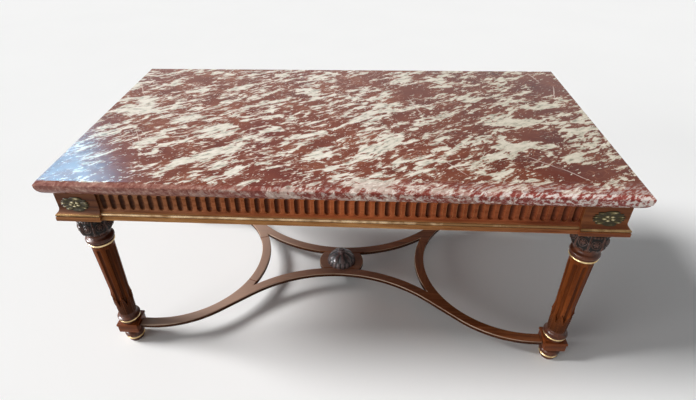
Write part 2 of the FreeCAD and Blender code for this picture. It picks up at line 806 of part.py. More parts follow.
# Finial on the hub: a ribbed dome with a bud, its spigot let through the hub.
def build_finial():
    wide = value_of(size("finial_radius"))
    bud = value_of(size("finial_bud_radius"))
    high = value_of(size("finial_height"))
    edge = value_of(size("finial_edge"))
    shoulder = high - value_of(size("finial_bud_height"))
    thick = value_of(size("stretcher_thick"))
    levels = [(wide, 0), (wide, edge)]
    for turn in (math.radians(30), math.radians(60)):
        levels.append((bud + (wide - bud) * math.cos(turn), edge + (shoulder - edge) * math.sin(turn)))
    levels += [(bud, shoulder), (bud, (shoulder + high) / 2), (bud / 2, high)]
    rings = [ribbed_ring(radius, height) for radius, height in levels]
    faces = [polygon_face(rings[0]), polygon_face(rings[-1])]
    for lower, upper in zip(rings, rings[1:]):
        for corner in range(len(lower)):
            faces.append(polygon_face([lower[corner - 1], lower[corner], upper[corner], upper[corner - 1]]))
    spigot = Part.makeCylinder(value_of(size("spigot_radius")), thick, FreeCAD.Vector(0, 0, -thick))
    finial = doc.addObject("Part::Feature", "finial")
    finial.Label = "finial"
    finial.Shape = Part.Solid(Part.Shell(faces)).fuse(spigot)
    place(finial, 0, 0, stretcher_top)
    pieces["finial"] = finial


def ribbed_ring(radius, height):
    """Give the corners of one level of the finial: flat-topped ribs and shallow valleys."""
    ribs = round(value_of(size("finial_ribs")))
    half_rib = value_of(size("finial_rib_share")) / 2
    valley = radius * (1 - value_of(size("finial_rib_depth")))
    spots = []
    for number in range(ribs):
        for reach, turn in ((radius, -half_rib), (radius, half_rib), (valley, 0.5)):
            angle = (number + turn) * 2 * math.pi / ribs
            spots.append(FreeCAD.Vector(reach * math.cos(angle), reach * math.sin(angle), height))
    return spots


def polygon_face(spots):
    """Make the flat face through a list of corners."""
    return Part.Face(Part.makePolygon(spots + spots[:1]))


# Flat bearers let into the long rails carry the middle of the slab.
def build_bearers():
    body = new_body("cross_bearer_left")
    reach = leg_y + block_half - size("rail_setback") - size("rail_thick") + size("bearer_seat")
    half = size("bearer_width") / 2
    sketch = new_sketch(body, "XY_Plane")
    draw_outline(sketch, rectangle(half * -1, reach * -1, half, reach))
    pad(body, sketch, size("bearer_height"))
    place(body, size("bearer_place") * -1, 0, apron_top - size("bearer_height"))
    mirrored("cross_bearer_right", body, ACROSS_LENGTH)


def check_and_write():
    """Stop if any object failed, then write each piece to its own file."""
    doc.recompute()
    for item in doc.Objects:
        if "Invalid" in item.State or "Error" in item.State:
            raise RuntimeError(f"{item.Label} failed: {item.State}")
    for name, piece in pieces.items():
        if piece.Shape.isNull() or not piece.Shape.isValid() or not piece.Shape.Solids:
            raise RuntimeError(f"{name} has no valid shape")
    os.makedirs("parts", exist_ok=True)
    for name, piece in pieces.items():
        piece.Shape.exportStep(f"parts/{name}.step")
        print(name, len(piece.Shape.Solids), round(piece.Shape.Volume))


build_marble_top()
build_rails()
build_rail_beads()
build_corner_blocks()
build_block_beads()
build_rosettes()
build_legs()
build_plinths()
build_feet()
build_stretcher()
build_finial()
build_bearers()
check_and_write()
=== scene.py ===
import math
from functools import partial
import bmesh
import bpy
from mathutils import Matrix, Vector


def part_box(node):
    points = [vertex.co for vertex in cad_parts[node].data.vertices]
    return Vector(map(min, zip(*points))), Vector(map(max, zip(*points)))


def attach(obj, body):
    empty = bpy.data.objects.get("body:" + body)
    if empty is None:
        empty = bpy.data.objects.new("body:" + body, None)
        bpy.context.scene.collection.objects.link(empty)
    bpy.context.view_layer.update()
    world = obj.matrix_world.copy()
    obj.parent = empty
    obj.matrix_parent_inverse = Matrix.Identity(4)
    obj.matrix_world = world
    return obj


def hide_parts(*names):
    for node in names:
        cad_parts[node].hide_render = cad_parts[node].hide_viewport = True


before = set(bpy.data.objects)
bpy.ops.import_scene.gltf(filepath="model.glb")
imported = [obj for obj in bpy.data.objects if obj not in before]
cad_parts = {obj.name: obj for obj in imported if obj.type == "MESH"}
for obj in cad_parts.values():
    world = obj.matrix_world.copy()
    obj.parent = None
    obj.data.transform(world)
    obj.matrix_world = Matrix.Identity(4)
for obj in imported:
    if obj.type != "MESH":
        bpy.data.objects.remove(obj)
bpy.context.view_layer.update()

# Places and levels of the table, in metres, taken from the parts of model.glb
MM = 0.001
ALONG = Vector((1, 0, 0))
ASIDE = Vector((0, 1, 0))
UP = Vector((0, 0, 1))
slab_low, slab_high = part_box("marble_top")
block_low, block_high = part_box("corner_block_front_left")
rail_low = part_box("front_rail")[0]
end_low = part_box("left_rail")[0]
plinth_low, plinth_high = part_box("plinth_front_left")
upper_ring_low, upper_ring_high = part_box("upper_rings")
lower_ring_low, lower_ring_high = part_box("lower_rings")
foot_ring_low, foot_ring_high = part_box("foot_rings")
end_arc_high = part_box("right_end_stretcher")[1]
hub_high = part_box("stretcher_hub")[1]
finial_low, finial_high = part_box("finial")
face_low, face_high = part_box("face_rosettes")
leg_x = -(block_low.x + block_high.x) / 2
leg_y = -(block_low.y + block_high.y) / 2
block_half = (block_high.x - block_low.x) / 2
apron_low = block_low.z
apron_high = block_high.z
CORNERS = {
    "front_left": (-1, -1), "front_right": (1, -1),
    "rear_left": (-1, 1), "rear_right": (1, 1),
}
LEG_PLACES = {place: (side_x * leg_x, side_y * leg_y) for place, (side_x, side_y) in CORNERS.items()}

# Arcs in profiles, as bulge over chord
QUARTER_ROUND = 0.2071
EIGHTH_ROUND = 0.1

# Slab: bevel above, round under, softened arrises, upright corners
SLAB_BEVEL = 7 * MM
SLAB_ROUND = 28 * MM
SLAB_SOFT = 0.6 * MM
SLAB_CORNER = 1.2 * MM

# Apron: depths behind the fascia, heights above its foot, flutes
APRON = apron_high - apron_low
FASCIA = 10 * MM
FASCIA_EASE = 1.2 * MM
BEAD_TOP = 16.5 * MM
BEAD_SEAT = 3 * MM
FRIEZE = 9 * MM
FRIEZE_EASE = 1 * MM
FRIEZE_HEAD = [(FRIEZE, APRON - FRIEZE_EASE), (FRIEZE + FRIEZE_EASE, APRON)]
COVE_TOP = 28.5 * MM
COVE_RADIUS = 15 * MM
RAIL_THICK = 33 * MM
FRONT_FLUTES = 48
END_FLUTES = 21
FLUTE_HALF = 6.3 * MM
FLUTE_DEPTH = 5.2 * MM
FLUTE_LOW = 23 * MM
FLUTE_FOOT = FLUTE_LOW - 1 * MM
FLUTE_HIGH = APRON - 4 * MM

# Rosettes: half sizes from the parts of model.glb, plate under the leaves, leaves, rings and spokes of the
# mesh
ROSETTE_WIDE = face_high.x - leg_x
ROSETTE_HIGH = (face_high.z - face_low.z) / 2
ROSETTE_PLATE = 1.1 * MM
ROSETTE_LEAVES = 13
ROSETTE_RINGS = 26
ROSETTE_SPOKES = 192

# Legs: shaft with flutes and sheath, and the levels of the turnings
SHAFT_TOP_RADIUS = 25.5 * MM
SHAFT_FOOT_RADIUS = 20 * MM
SHAFT_FLUTES = 8
SHAFT_FLUTE_MOUTH = math.radians(23) / 2
SHAFT_FLUTE_DEPTH = 3.0 * MM
SHAFT_FLUTE_ROUND = 5 * MM
SHAFT_FLUTE_HEAD = upper_ring_low.z - 11 * MM
SHEATH_LOW = lower_ring_high.z + 17 * MM
SHEATH_HIGH = SHEATH_LOW + 59 * MM
NECK_HIGH = apron_low - 57 * MM
COLLAR_LOW = apron_low - 12 * MM

# Bulb of a leg: flowers round it, and its mean radius in millimetres
BULB_FLOWERS = 8
BULB_RADIUS = 34

# Finial: petals round its upper half, scallops round its lower half
FINIAL_PETALS = 9
FINIAL_SCALLOPS = 18

# Meshes: points that count as one, the least corner, columns round turned and carved pieces
SAME_POINT = 0.02 * MM
LEAST_CORNER = 0.2 * MM
TURNED_COLUMNS = 72
CARVED_COLUMNS = 240


# Shapes

class Shape:
    """Points, faces and depth of carving of one mesh, gathered before it becomes a piece."""

    def __init__(self):
        self.points = []
        self.depths = []
        self.faces = []

    def add(self, point, depth):
        self.points.append(tuple(point))
        self.depths.append(depth)
        return len(self.points) - 1

    def grid(self, rows, closed=False):
        """Join rows of (point, depth) by quads, round and round where closed."""
        marks = [[self.add(*spot) for spot in row] for row in rows]
        for low, high in zip(marks, marks[1:]):
            last = len(low) if closed else len(low) - 1
            for n in range(last):
                after = (n + 1) % len(low)
                self.faces.append((low[n], low[after], high[after], high[n]))
        return marks

    def body(self, rings):
        """Join closed rings of (point, depth), and close the first and the last by a face."""
        marks = self.grid(rings, closed=True)
        self.faces.append(tuple(marks[0]))
        self.faces.append(tuple(marks[-1]))

    def mesh(self, name, crease):
        """Make a clean mesh that is smooth up to a crease in degrees and knows its depth of carving."""
        mesh = bpy.data.meshes.new(name)
        mesh.from_pydata(self.points, [], self.faces)
        carved = mesh.attributes.new("carved", "FLOAT", "POINT")
        carved.data.foreach_set("value", self.depths)
        cleaner = bmesh.new()
        cleaner.from_mesh(mesh)
        bmesh.ops.remove_doubles(cleaner, verts=cleaner.verts, dist=SAME_POINT)
        bmesh.ops.recalc_face_normals(cleaner, faces=cleaner.faces)
        cleaner.to_mesh(mesh)
        cleaner.free()
        mesh.shade_smooth()
        mesh.set_sharp_from_angle(angle=math.radians(crease))
        return mesh

    def piece(self, name, material, stands_for, body="frame", crease=38):
        """Make the object, give it its finish, tie it to its body, and hide the solids it stands for."""
        mesh = self.mesh(name, crease)
        mesh.materials.append(material)
        made = bpy.data.objects.new(name, mesh)
        bpy.context.scene.collection.objects.link(made)
        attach(made, body)
        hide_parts(*stands_for)


def steps_between(low, high, steps):
    """List the values from low to high in even steps, both ends with them."""
    return [low + (high - low) * n / steps for n in range(steps + 1)]


def arc(start, end, bulge, steps):
    """List points after start on an arc to end that stands out on the right of the way by bulge chords."""
    if not bulge:
        return [end]
    chord = Vector(end) - Vector(start)
    half = 2 * math.atan(2 * bulge)
    reach = chord.length / (2 * math.sin(half))
    ahead = chord.normalized()
    right = Vector((ahead.y, -ahead.x))
    centre = Vector(start) + chord / 2 - right * (reach * math.cos(half))
    turns = [half * (2 * n / steps - 1) for n in range(1, steps + 1)]
    return [tuple(centre + (right * math.cos(t) + ahead * math.sin(t)) * reach) for t in turns]


def outline(*spots, steps=8):
    """List a profile through spots of (across, up) or (across, up, bulge of the arc that leads there)."""
    line = [spots[0][:2]]
    for spot in spots[1:]:
        line += arc(line[-1], spot[:2], spot[2] if len(spot) > 2 else 0, steps)
    return line


def even_angles(count):
    return [2 * math.pi * n / count for n in range(count)]


def lathe(shape, profile, centre, angles, relief=None):
    """Turn a profile of (radius, level) round an upright axis.

    A relief gives the lift and the depth of carving at an angle and level.
    """
    rings = []
    for radius, level in profile:
        ring = []
        for angle in angles:
            lift, depth = relief(angle, level) if relief else (0, 0)
            reach = radius + lift
            spot = (centre[0] + reach * math.cos(angle), centre[1] + reach * math.sin(angle), level)
            ring.append((spot, depth))
        rings.append(ring)
    shape.body(rings)


def wrapped(angle, count):
    """Give the angle from the nearest of count motifs set evenly round a circle."""
    step = 2 * math.pi / count
    return (angle + step / 2) % step - step / 2


def dome(distance, reach):
    return math.sqrt(max(0.0, 1 - (distance / reach) ** 2))


def ridge(distance, reach):
    return max(0.0, 1 - abs(distance) / reach)


def rounded_ring(half_x, half_y, corner, level, steps=4):
    """List one level of a rectangle with rounded corners, about the origin."""
    spots = []
    for quarter, (side_x, side_y) in enumerate(((1, 1), (-1, 1), (-1, -1), (1, -1))):
        for n in range(steps + 1):
            turn = (quarter + n / steps) * math.pi / 2
            spots.append(Vector((
                side_x * (half_x - corner) + corner * math.cos(turn),
                side_y * (half_y - corner) + corner * math.sin(turn), level)))
    return spots


def moulded_block(shape, profile, half_x, half_y, corner, centre=(0, 0)):
    """Carry a profile of (inset, level) round a rectangle and close it above and below."""
    shift = Vector((*centre, 0))
    rings = []
    for inset, level in profile:
        tight = max(corner - inset, LEAST_CORNER)
        ring = rounded_ring(half_x - inset, half_y - inset, tight, level)
        rings.append([(spot + shift, 0.0) for spot in ring])
    shape.body(rings)


# Materials

class Nodes:
    """The node tree of a material or world, with short calls that add a node and join its inputs."""

    def __init__(self, owner):
        owner.use_nodes = True
        self.owner = owner
        self.tree = owner.node_tree

    def feed(self, socket, value):
        if isinstance(value, bpy.types.NodeSocket):
            self.tree.links.new(value, socket)
        else:
            socket.default_value = value

    def node(self, kind, output=0, inputs=None, **settings):
        made = self.tree.nodes.new("ShaderNode" + kind)
        for key, value in settings.items():
            setattr(made, key, value)
        for key, value in (inputs or {}).items():
            self.feed(made.inputs[key], value)
        return made.outputs[output]

    def where(self):
        return self.node("TexCoord", "Object")

    def axis(self, vector, name):
        return self.node("SeparateXYZ", name, {0: vector})

    def laid(self, vector, place=(0, 0, 0), turn=0.0, scale=(1, 1, 1)):
        """Give the vector in a frame at place, turned about the upright, with these units of length."""
        return self.node("Mapping", inputs={
            "Vector": vector, "Location": place, "Rotation": (0, 0, math.radians(turn)), "Scale": scale,
        }, vector_type="TEXTURE")

    def noise(self, vector, scale, detail=4.0, rough=0.5, warp=0.0, output="Fac"):
        """Give cloudy noise with about scale features to the metre."""
        return self.node("TexNoise", output, {
            "Vector": vector, "Scale": scale, "Detail": detail, "Roughness": rough, "Distortion": warp})

    def sums(self, operation, first, second=0.0):
        return self.node("Math", inputs={0: first, 1: second}, operation=operation)

    def vector(self, operation, *terms, output="Vector"):
        return self.node("VectorMath", output, dict(enumerate(terms)), operation=operation)

    def between(self, value, low, high, start=0.0, end=1.0):
        """Carry a value from low..high smoothly to start..end, held at both ends."""
        return self.node("MapRange", inputs={
            "Value": value, "From Min": low, "From Max": high, "To Min": start, "To Max": end,
        }, interpolation_type="SMOOTHSTEP")

    def ramp(self, factor, *stops):
        """Carry a factor to a colour through stops of (place, colour)."""
        made = self.tree.nodes.new("ShaderNodeValToRGB")
        self.feed(made.inputs["Fac"], factor)
        marks = made.color_ramp.elements
        for mark, (spot, colour) in zip(marks, (stops[0], stops[-1])):
            mark.position = spot
            mark.color = (*colour, 1)
        for spot, colour in stops[1:-1]:
            marks.new(spot).color = (*colour, 1)
        return made.outputs["Color"]

    def mix(self, factor, first, second, blend="MIX"):
        made = self.tree.nodes.new("ShaderNodeMix")
        made.data_type = "RGBA"
        made.blend_type = blend
        self.feed(made.inputs[0], factor)
        for socket, colour in ((made.inputs[6], first), (made.inputs[7], second)):
            self.feed(socket, (*colour, 1) if isinstance(colour, tuple) else colour)
        return made.outputs[2]

    def carved(self):
        return self.node("Attribute", "Fac", attribute_name="carved")

    def worn_edge(self, radius):
        """Show where a surface turns sharply within a radius, as 0 on flats to 1 on arrises."""
        eased = self.node("Bevel", inputs={"Radius": radius}, samples=4)
        plain = self.node("NewGeometry", "Normal")
        return self.between(self.vector("DOT_PRODUCT", eased, plain, output="Value"), 0.995, 0.9)

    def seen(self):
        """Show 1 to the eye, in reflections and through glass, and 0 to light that is thrown on."""
        seen = self.node("LightPath", "Is Camera Ray")
        for ray in ("Is Glossy Ray", "Is Transmission Ray"):
            seen = self.sums("MAXIMUM", seen, self.node("LightPath", ray))
        return seen

    def finish(self, colour, rough, height=None, depth=0.0, **levels):
        """Feed the shader of a material; levels are constants for its other inputs."""
        inputs = self.tree.nodes["Principled BSDF"].inputs
        self.feed(inputs["Base Color"], colour)
        self.feed(inputs["Roughness"], rough)
        if height is not None:
            bump = self.node("Bump", "Normal", {"Height": height, "Distance": depth, "Strength": 1.0})
            self.feed(inputs["Normal"], bump)
        for name, level in levels.items():
            inputs[name.replace("_", " ")].default_value = level
        return self.owner


def new_material(name):
    return Nodes(bpy.data.materials.new(name))


# Pale patches, clearings and cracks of the slab: place, half length, half width, turn
PALE_PATCHES = (
    (-0.076, 0.139, 0.040, 0.030, 20), (-0.294, 0.119, 0.040, 0.022, 40), (0.149, 0.229, 0.050, 0.034, 40),
    (0.239, 0.222, 0.036, 0.018, 30), (0.069, 0.019, 0.090, 0.020, 55), (-0.236, -0.186, 0.066, 0.036, 45),
    (0.089, -0.136, 0.090, 0.046, 45), (0.389, -0.021, 0.080, 0.028, 15), (0.479, 0.059, 0.050, 0.016, 25),
    (0.359, -0.131, 0.064, 0.022, 5), (0.524, -0.046, 0.050, 0.018, 20), (-0.491, 0.034, 0.064, 0.040, 25),
    (-0.351, -0.026, 0.052, 0.028, 30), (-0.256, -0.081, 0.054, 0.036, 35), (0.074, -0.286, 0.074, 0.024, 5),
    (0.314, 0.099, 0.050, 0.020, 10),
)
RED_CLEARINGS = (
    (-0.401, 0.224, 0.060, 0.045, 0), (0.174, 0.129, 0.075, 0.060, 70), (0.509, 0.184, 0.115, 0.060, 85),
    (0.024, 0.209, 0.065, 0.050, 80), (0.445, -0.232, 0.100, 0.050, 8), (-0.126, -0.261, 0.070, 0.024, 5),
    (-0.436, -0.236, 0.075, 0.045, 80), (-0.565, -0.260, 0.085, 0.070, 70), (0.432, -0.085, 0.050, 0.036, 20),
)
CRACKS = (
    (-0.526, 0.152, 0.070, 0.0018, -64), (0.179, 0.059, 0.078, 0.0016, -75),
    (0.229, -0.208, 0.063, 0.0014, -56), (-0.430, -0.116, 0.060, 0.0014, -62),
    (0.502, 0.254, 0.050, 0.0018, -78), (0.526, 0.154, 0.060, 0.0018, 75),
    (0.405, -0.190, 0.050, 0.0014, -42), (0.452, -0.232, 0.046, 0.0014, -48),
)

# Marble colours: ramps as (place, colour), covers, and two tones of painted shade that multiply the right
# half
BRICK = ((0.30, (0.132, 0.028, 0.017)), (0.5, (0.200, 0.050, 0.027)), (0.72, (0.272, 0.084, 0.042)))
CREAM = ((0.34, (0.33, 0.31, 0.25)), (0.45, (0.74, 0.69, 0.59)), (0.60, (0.90, 0.84, 0.75)))
DULL_EDGE = ((0.36, (0.185, 0.055, 0.044)), (0.5, (0.330, 0.145, 0.112)), (0.62, (0.52, 0.31, 0.25)))
WINE_EDGE = (
    (0.38, (0.235, 0.036, 0.033)), (0.51, (0.380, 0.088, 0.074)),
    (0.545, (0.54, 0.27, 0.23)), (0.585, (0.95, 0.85, 0.80)),
)
DARK_CLOUD = (0.135, 0.020, 0.020)
RED_SPECK = (0.34, 0.125, 0.078)
PALE_THREAD = (0.56, 0.31, 0.23)
PINK_FRINGE = (0.42, 0.20, 0.14)
PALE_CRACK = (0.74, 0.58, 0.50)
RED_UNDER_PAINTED_SHADE = (0.66, 0.46, 0.31)
CREAM_UNDER_PAINTED_SHADE = (0.81, 0.79, 0.73)
STREAK_TURN = 32
STREAK_LENGTHS = (2.6, 1, 1.5)


def cover_of(n, place, patches):
    """Show the patches as 1 in their middle to 0 at their rim."""
    cover = None
    for x, y, length, width, turn in patches:
        inside = n.laid(place, (x, y, slab_high.z), turn, (length, width, 0.2))
        spot = n.node("TexGradient", "Fac", {"Vector": inside}, gradient_type="SPHERICAL")
        cover = spot if cover is None else n.sums("MAXIMUM", cover, spot)
    return cover


def marble_field(n, bent, streaks):
    """Give a field that stands high where the marble is pale: flakes in clusters, patches and clearings."""
    flakes = n.noise(streaks, 88, 7, 0.58, 0.45)
    clusters = n.noise(streaks, 30, 3, 0.5)
    field = n.sums("ADD", n.sums("MULTIPLY", flakes, 0.60), n.sums("MULTIPLY", clusters, 0.40))
    for patches, weight in ((PALE_PATCHES, 0.11), (RED_CLEARINGS, -0.10)):
        field = n.sums("ADD", field, n.between(cover_of(n, bent, patches), 0.0, 0.6, 0.0, weight))
    return field


def marble_ground(n, place, bent, streaks, fine):
    """Brick red with darker clouds, paler specks and thin pale threads."""
    ground = n.ramp(n.noise(bent, 14, 5, 0.6), *BRICK)
    ground = n.mix(n.between(n.noise(place, 4, 2), 0.5, 0.68, 0.0, 0.5), ground, DARK_CLOUD)
    ground = n.mix(n.between(fine, 0.55, 0.8, 0.0, 0.35), ground, RED_SPECK)
    cells = n.node("TexVoronoi", "Distance", {"Vector": streaks, "Scale": 75}, feature="DISTANCE_TO_EDGE")
    strength = n.between(n.noise(bent, 16, 4), 0.46, 0.62, 0.0, 0.6)
    return n.mix(n.sums("MULTIPLY", n.between(cells, 0.045, 0.0), strength), ground, PALE_THREAD)


def marble_face(n, place, bent, streaks, fine):
    """Cream flakes and shards with a fringe on the ground, with painted shade deepening them towards the
    right.
    """
    field = marble_field(n, bent, streaks)
    shards = n.sums("ADD", n.noise(streaks, 230, 4, 0.55, 0.6), n.sums("MULTIPLY", field, 0.5))
    pale = n.sums("MAXIMUM", n.between(field, 0.513, 0.552), n.between(shards, 0.835, 0.875))
    ground = marble_ground(n, place, bent, streaks, fine)
    fringe = n.mix(n.between(field, 0.490, 0.520, 0.0, 0.65), ground, PINK_FRINGE)
    cream = n.ramp(n.noise(streaks, 130, 5, 0.6), *CREAM)
    # painted shade: the right half of the slab is darker
    shade_on_right = n.between(n.axis(place, "X"), -0.05, 0.45)
    fringe = n.mix(shade_on_right, fringe, RED_UNDER_PAINTED_SHADE, "MULTIPLY")
    cream = n.mix(shade_on_right, cream, CREAM_UNDER_PAINTED_SHADE, "MULTIPLY")
    return n.mix(pale, fringe, cream)


def marble_edge(n, along, streaks):
    """Mottled edge: dull on the left, wine red with white mottles on the right."""
    mottle = n.sums("ADD", n.noise(streaks, 190, 6, 0.66), n.sums("MULTIPLY", along, 0.07))
    return n.mix(n.between(along, -0.3, 0.05), n.ramp(mottle, *DULL_EDGE), n.ramp(mottle, *WINE_EDGE))


def edge_share(n, place, bent, along):
    """Show how far the mottle covers the edge, least in its middle, and the face's brink on the right."""
    turned = n.between(n.axis(place, "Z"), slab_high.z - 0.2 * MM, slab_high.z - 1.5 * MM)
    share = n.sums("ADD", n.between(along, -0.35, 0.0, 0.95, 0.45), n.between(along, 0.10, 0.40, 0.0, 0.37))
    near = n.between(n.axis(bent, "Y"), slab_low.y + 45 * MM, slab_low.y + 15 * MM)
    brink = n.sums("MULTIPLY", near, n.between(along, -0.15, 0.15, 0.0, 0.40))
    return n.sums("MAXIMUM", brink, n.sums("MULTIPLY", turned, share))


def marble_cracks(n, place):
    """Show the fine cracks, shaken by noise."""
    shaken = n.vector("MULTIPLY_ADD", n.noise(place, 60, 3, output="Color"), (0.005, 0.005, 0), place)
    return n.between(cover_of(n, shaken, CRACKS), 0.1, 0.5, 0.0, 0.75)


def marble():
    """Polished brick-red marble: ragged cream flakes drawn out on a slant, fine cracks, a mottled edge."""
    n = new_material("red_marble")
    place = n.where()
    along = n.axis(place, "X")
    drift = n.vector("SUBTRACT", n.noise(place, 5.0, 3, output="Color"), (0.5, 0.5, 0.5))
    bent = n.vector("MULTIPLY_ADD", drift, (0.05, 0.05, 0.05), place)
    streaks = n.laid(bent, turn=STREAK_TURN, scale=STREAK_LENGTHS)
    fine = n.noise(place, 300, 3, 0.6)
    colour = marble_face(n, place, bent, streaks, fine)
    colour = n.mix(edge_share(n, place, bent, along), colour, marble_edge(n, along, streaks))
    colour = n.mix(marble_cracks(n, place), colour, PALE_CRACK)
    rough = n.between(n.noise(place, 30, 4), 0.3, 0.7, 0.19, 0.27)
    return n.finish(colour, rough, fine, 0.01 * MM, Specular_IOR_Level=0.12)


# Woods: dark, middle and light of the figure, then the colour of pores and grooves
GOLDEN = ((0.270, 0.106, 0.033), (0.510, 0.240, 0.083), (0.67, 0.37, 0.145), (0.024, 0.006, 0.002))
WARM = ((0.165, 0.055, 0.016), (0.310, 0.118, 0.036), (0.44, 0.19, 0.065), (0.024, 0.006, 0.002))
RED = ((0.095, 0.022, 0.005), (0.195, 0.047, 0.010), (0.30, 0.083, 0.020), (0.020, 0.005, 0.001))
DARK_RED = ((0.058, 0.016, 0.007), (0.112, 0.033, 0.014), (0.17, 0.056, 0.025), (0.012, 0.004, 0.002))
BROWN = ((0.125, 0.036, 0.012), (0.235, 0.072, 0.024), (0.33, 0.122, 0.047), (0.014, 0.005, 0.002))
PINE = ((0.30, 0.19, 0.09), (0.42, 0.28, 0.15), (0.52, 0.37, 0.21), (0.16, 0.09, 0.04))
GRAIN_LENGTH = 14.0

# Stains that multiply the apron's wood: at its left, middle and right end. The cool tint on the left is a
# painted sheen, and the darker left blocks and the rails' dark right end are painted shade
FRIEZE_STAINS_AND_PAINTED_LIGHT = ((0.57, 0.48, 0.62), (1.0, 0.55, 0.52), (0.29, 0.145, 0.165))
END_STAINS_AND_PAINTED_SHEEN = ((0.57, 0.48, 0.62), (0.75, 0.48, 0.50), (0.75, 0.48, 0.50))
BLOCK_STAINS_AND_PAINTED_LIGHT = ((0.40, 0.33, 0.38), (0.5, 0.42, 0.44), (0.60, 0.48, 0.46))
FASCIA_PAINTED_SHADE = (0.62, 0.44, 0.47)

# Colours laid over wood: darker at the foot of the shafts; a painted sheen on the stretcher's upper face and
# painted highlights on its arrises
DARKER_FOOT = (0.062, 0.023, 0.010)
PAINTED_SHEEN = (0.47, 0.345, 0.280)
PAINTED_ARRIS_HIGHLIGHT = (0.66, 0.50, 0.38)

# Glued seams of the stretcher, in the quarter with positive x and y
FORK_SEAM = end_arc_high - Vector((11.6, 4.6, 5.5)) * MM
HUB_SEAM = Vector((hub_high.x, hub_high.y - 1 * MM, hub_high.z))


def wood_cloud(n, place):
    return n.noise(place, 9, 3, 0.5)


def wood(name, axis, palette, shade=0.85, gloss=0.2, polish=0.1, dress=None):
    """Polished mahogany: streaked figure and fine pores along an axis, dark carving, rubbed arrises.

    A dress changes the colour and the dark of the carving from place to place.
    """
    n = new_material(name)
    place = n.where()
    dark, middle, light, groove = palette
    lengths = [1.0, 1.0, 1.0]
    lengths["XYZ".index(axis)] = GRAIN_LENGTH
    grain = n.laid(place, scale=lengths)
    figure = n.noise(grain, 110, 5, 0.6, 0.6)
    pores = n.noise(grain, 900, 2, 0.5)
    cloud = wood_cloud(n, place)
    colour = n.ramp(figure, (0.30, dark), (0.5, middle), (0.72, light))
    colour = n.mix(n.between(cloud, 0.35, 0.7, 0.0, 0.45), colour, dark)
    colour = n.mix(n.between(pores, 0.58, 0.75, 0.0, 0.5), colour, groove)
    sunk = n.between(n.carved(), 0.1, 0.9, 0.0, shade)
    if dress:
        colour, sunk = dress(n, place, colour, sunk)
    wear = n.between(cloud, 0.3, 0.6, 0.15, 0.6)
    colour = n.mix(n.sums("MULTIPLY", n.worn_edge(1.2 * MM), wear), colour, light)
    colour = n.mix(sunk, colour, groove)
    rough = n.between(figure, 0.3, 0.7, 0.28, 0.42)
    return n.finish(colour, rough, pores, 0.12 * MM, Specular_IOR_Level=gloss, Coat_Weight=polish,
                    Coat_Roughness=0.18)


def apron_dress(stains_and_light, n, place, colour, sunk):
    """Stain the frieze along the table, with a painted sheen on the left and painted shade on the right; add
    painted shade to the fascia, and fade the painted shade in the carving, towards the right.
    """
    along = n.axis(place, "X")
    left, middle, right = stains_and_light
    # painted light along the table: a cool painted sheen on the left, painted shade on the right
    stain_and_light = n.ramp(n.sums("ADD", along, 0.5), (0.1, left), (0.5, middle), (1.0, right))
    # painted shade: the fascia darkens towards the right
    fascia = n.mix(n.between(along, 0.05, 0.45), colour, FASCIA_PAINTED_SHADE, "MULTIPLY")
    frieze = n.mix(1.0, colour, stain_and_light, "MULTIPLY")
    bead_top = apron_low + BEAD_TOP
    above = n.between(n.axis(place, "Z"), bead_top - 1 * MM, bead_top + 4 * MM)
    # the painted shade in the carving fades towards the right
    sunk = n.sums("MULTIPLY", sunk, n.between(along, 0.1, 0.5, 1.0, 0.5))
    return n.mix(above, fascia, frieze), sunk


def leg_dress(n, place, colour, sunk):
    """Darken the foot of the shaft, more towards the bottom of its sheath."""
    darkening = n.between(n.axis(place, "Z"), SHEATH_HIGH + 20 * MM, SHEATH_LOW, 0.0, 0.7)
    return n.mix(darkening, colour, DARKER_FOOT), sunk


def clear_of_seams(n, place):
    """Show 0 at the glued seams of the stretcher's forks and hub, and 1 elsewhere."""
    folded = n.vector("ABSOLUTE", place)
    fork = n.between(n.vector("DISTANCE", folded, FORK_SEAM, output="Value"), 13 * MM, 19 * MM)
    hub = n.vector("SUBTRACT", folded, HUB_SEAM)
    beyond = n.between(n.axis(hub, "X"), 0, 5 * MM)
    beside = n.between(n.sums("ABSOLUTE", n.axis(hub, "Y")), 5 * MM, 8 * MM)
    return n.sums("MULTIPLY", fork, n.sums("MAXIMUM", beyond, beside))


def board_dress(n, place, colour, sunk):
    """Lay a painted sheen on the upper face towards the left, painted shade on the sides, and painted
    highlights on the eased arrises clear of the seams.
    """
    upward = n.axis(n.node("NewGeometry", "Normal"), "Z")
    # painted sheen: the upper face lightens towards the left
    sheen_share = n.between(n.axis(place, "X"), 0.26, -0.42, 0.0, 0.8)
    colour = n.mix(n.sums("MULTIPLY", sheen_share, n.between(upward, 0.9, 0.97)), colour, PAINTED_SHEEN)
    # painted shade: the sides are darker than the upper face
    colour = n.mix(n.between(upward, 0.5, 0.1, 0.0, 0.75), colour, BROWN[-1])
    # painted highlight on the eased arrises
    eased = n.sums("MULTIPLY", n.between(upward, 0.2, 0.45), n.between(upward, 0.97, 0.85))
    eased = n.sums("MULTIPLY", eased, clear_of_seams(n, place))
    patchy = n.between(wood_cloud(n, place), 0.3, 0.6, 0.35, 1.0)
    return n.mix(n.sums("MULTIPLY", eased, patchy), colour, PAINTED_ARRIS_HIGHLIGHT), sunk


def carved_wood(name, dark, light, groove, gloss):
    """Dark carved mahogany: dark in the ground of the carving, bare polish on its high places."""
    n = new_material(name)
    mottle = n.noise(n.where(), 120, 5, 0.6)
    colour = n.ramp(mottle, (0.3, dark), (0.75, light))
    colour = n.mix(n.between(n.carved(), 0.15, 0.8), colour, groove)
    rough = n.between(n.carved(), 0.0, 0.8, 0.16, 0.6)
    return n.finish(colour, rough, mottle, 0.3 * MM, Specular_IOR_Level=gloss)


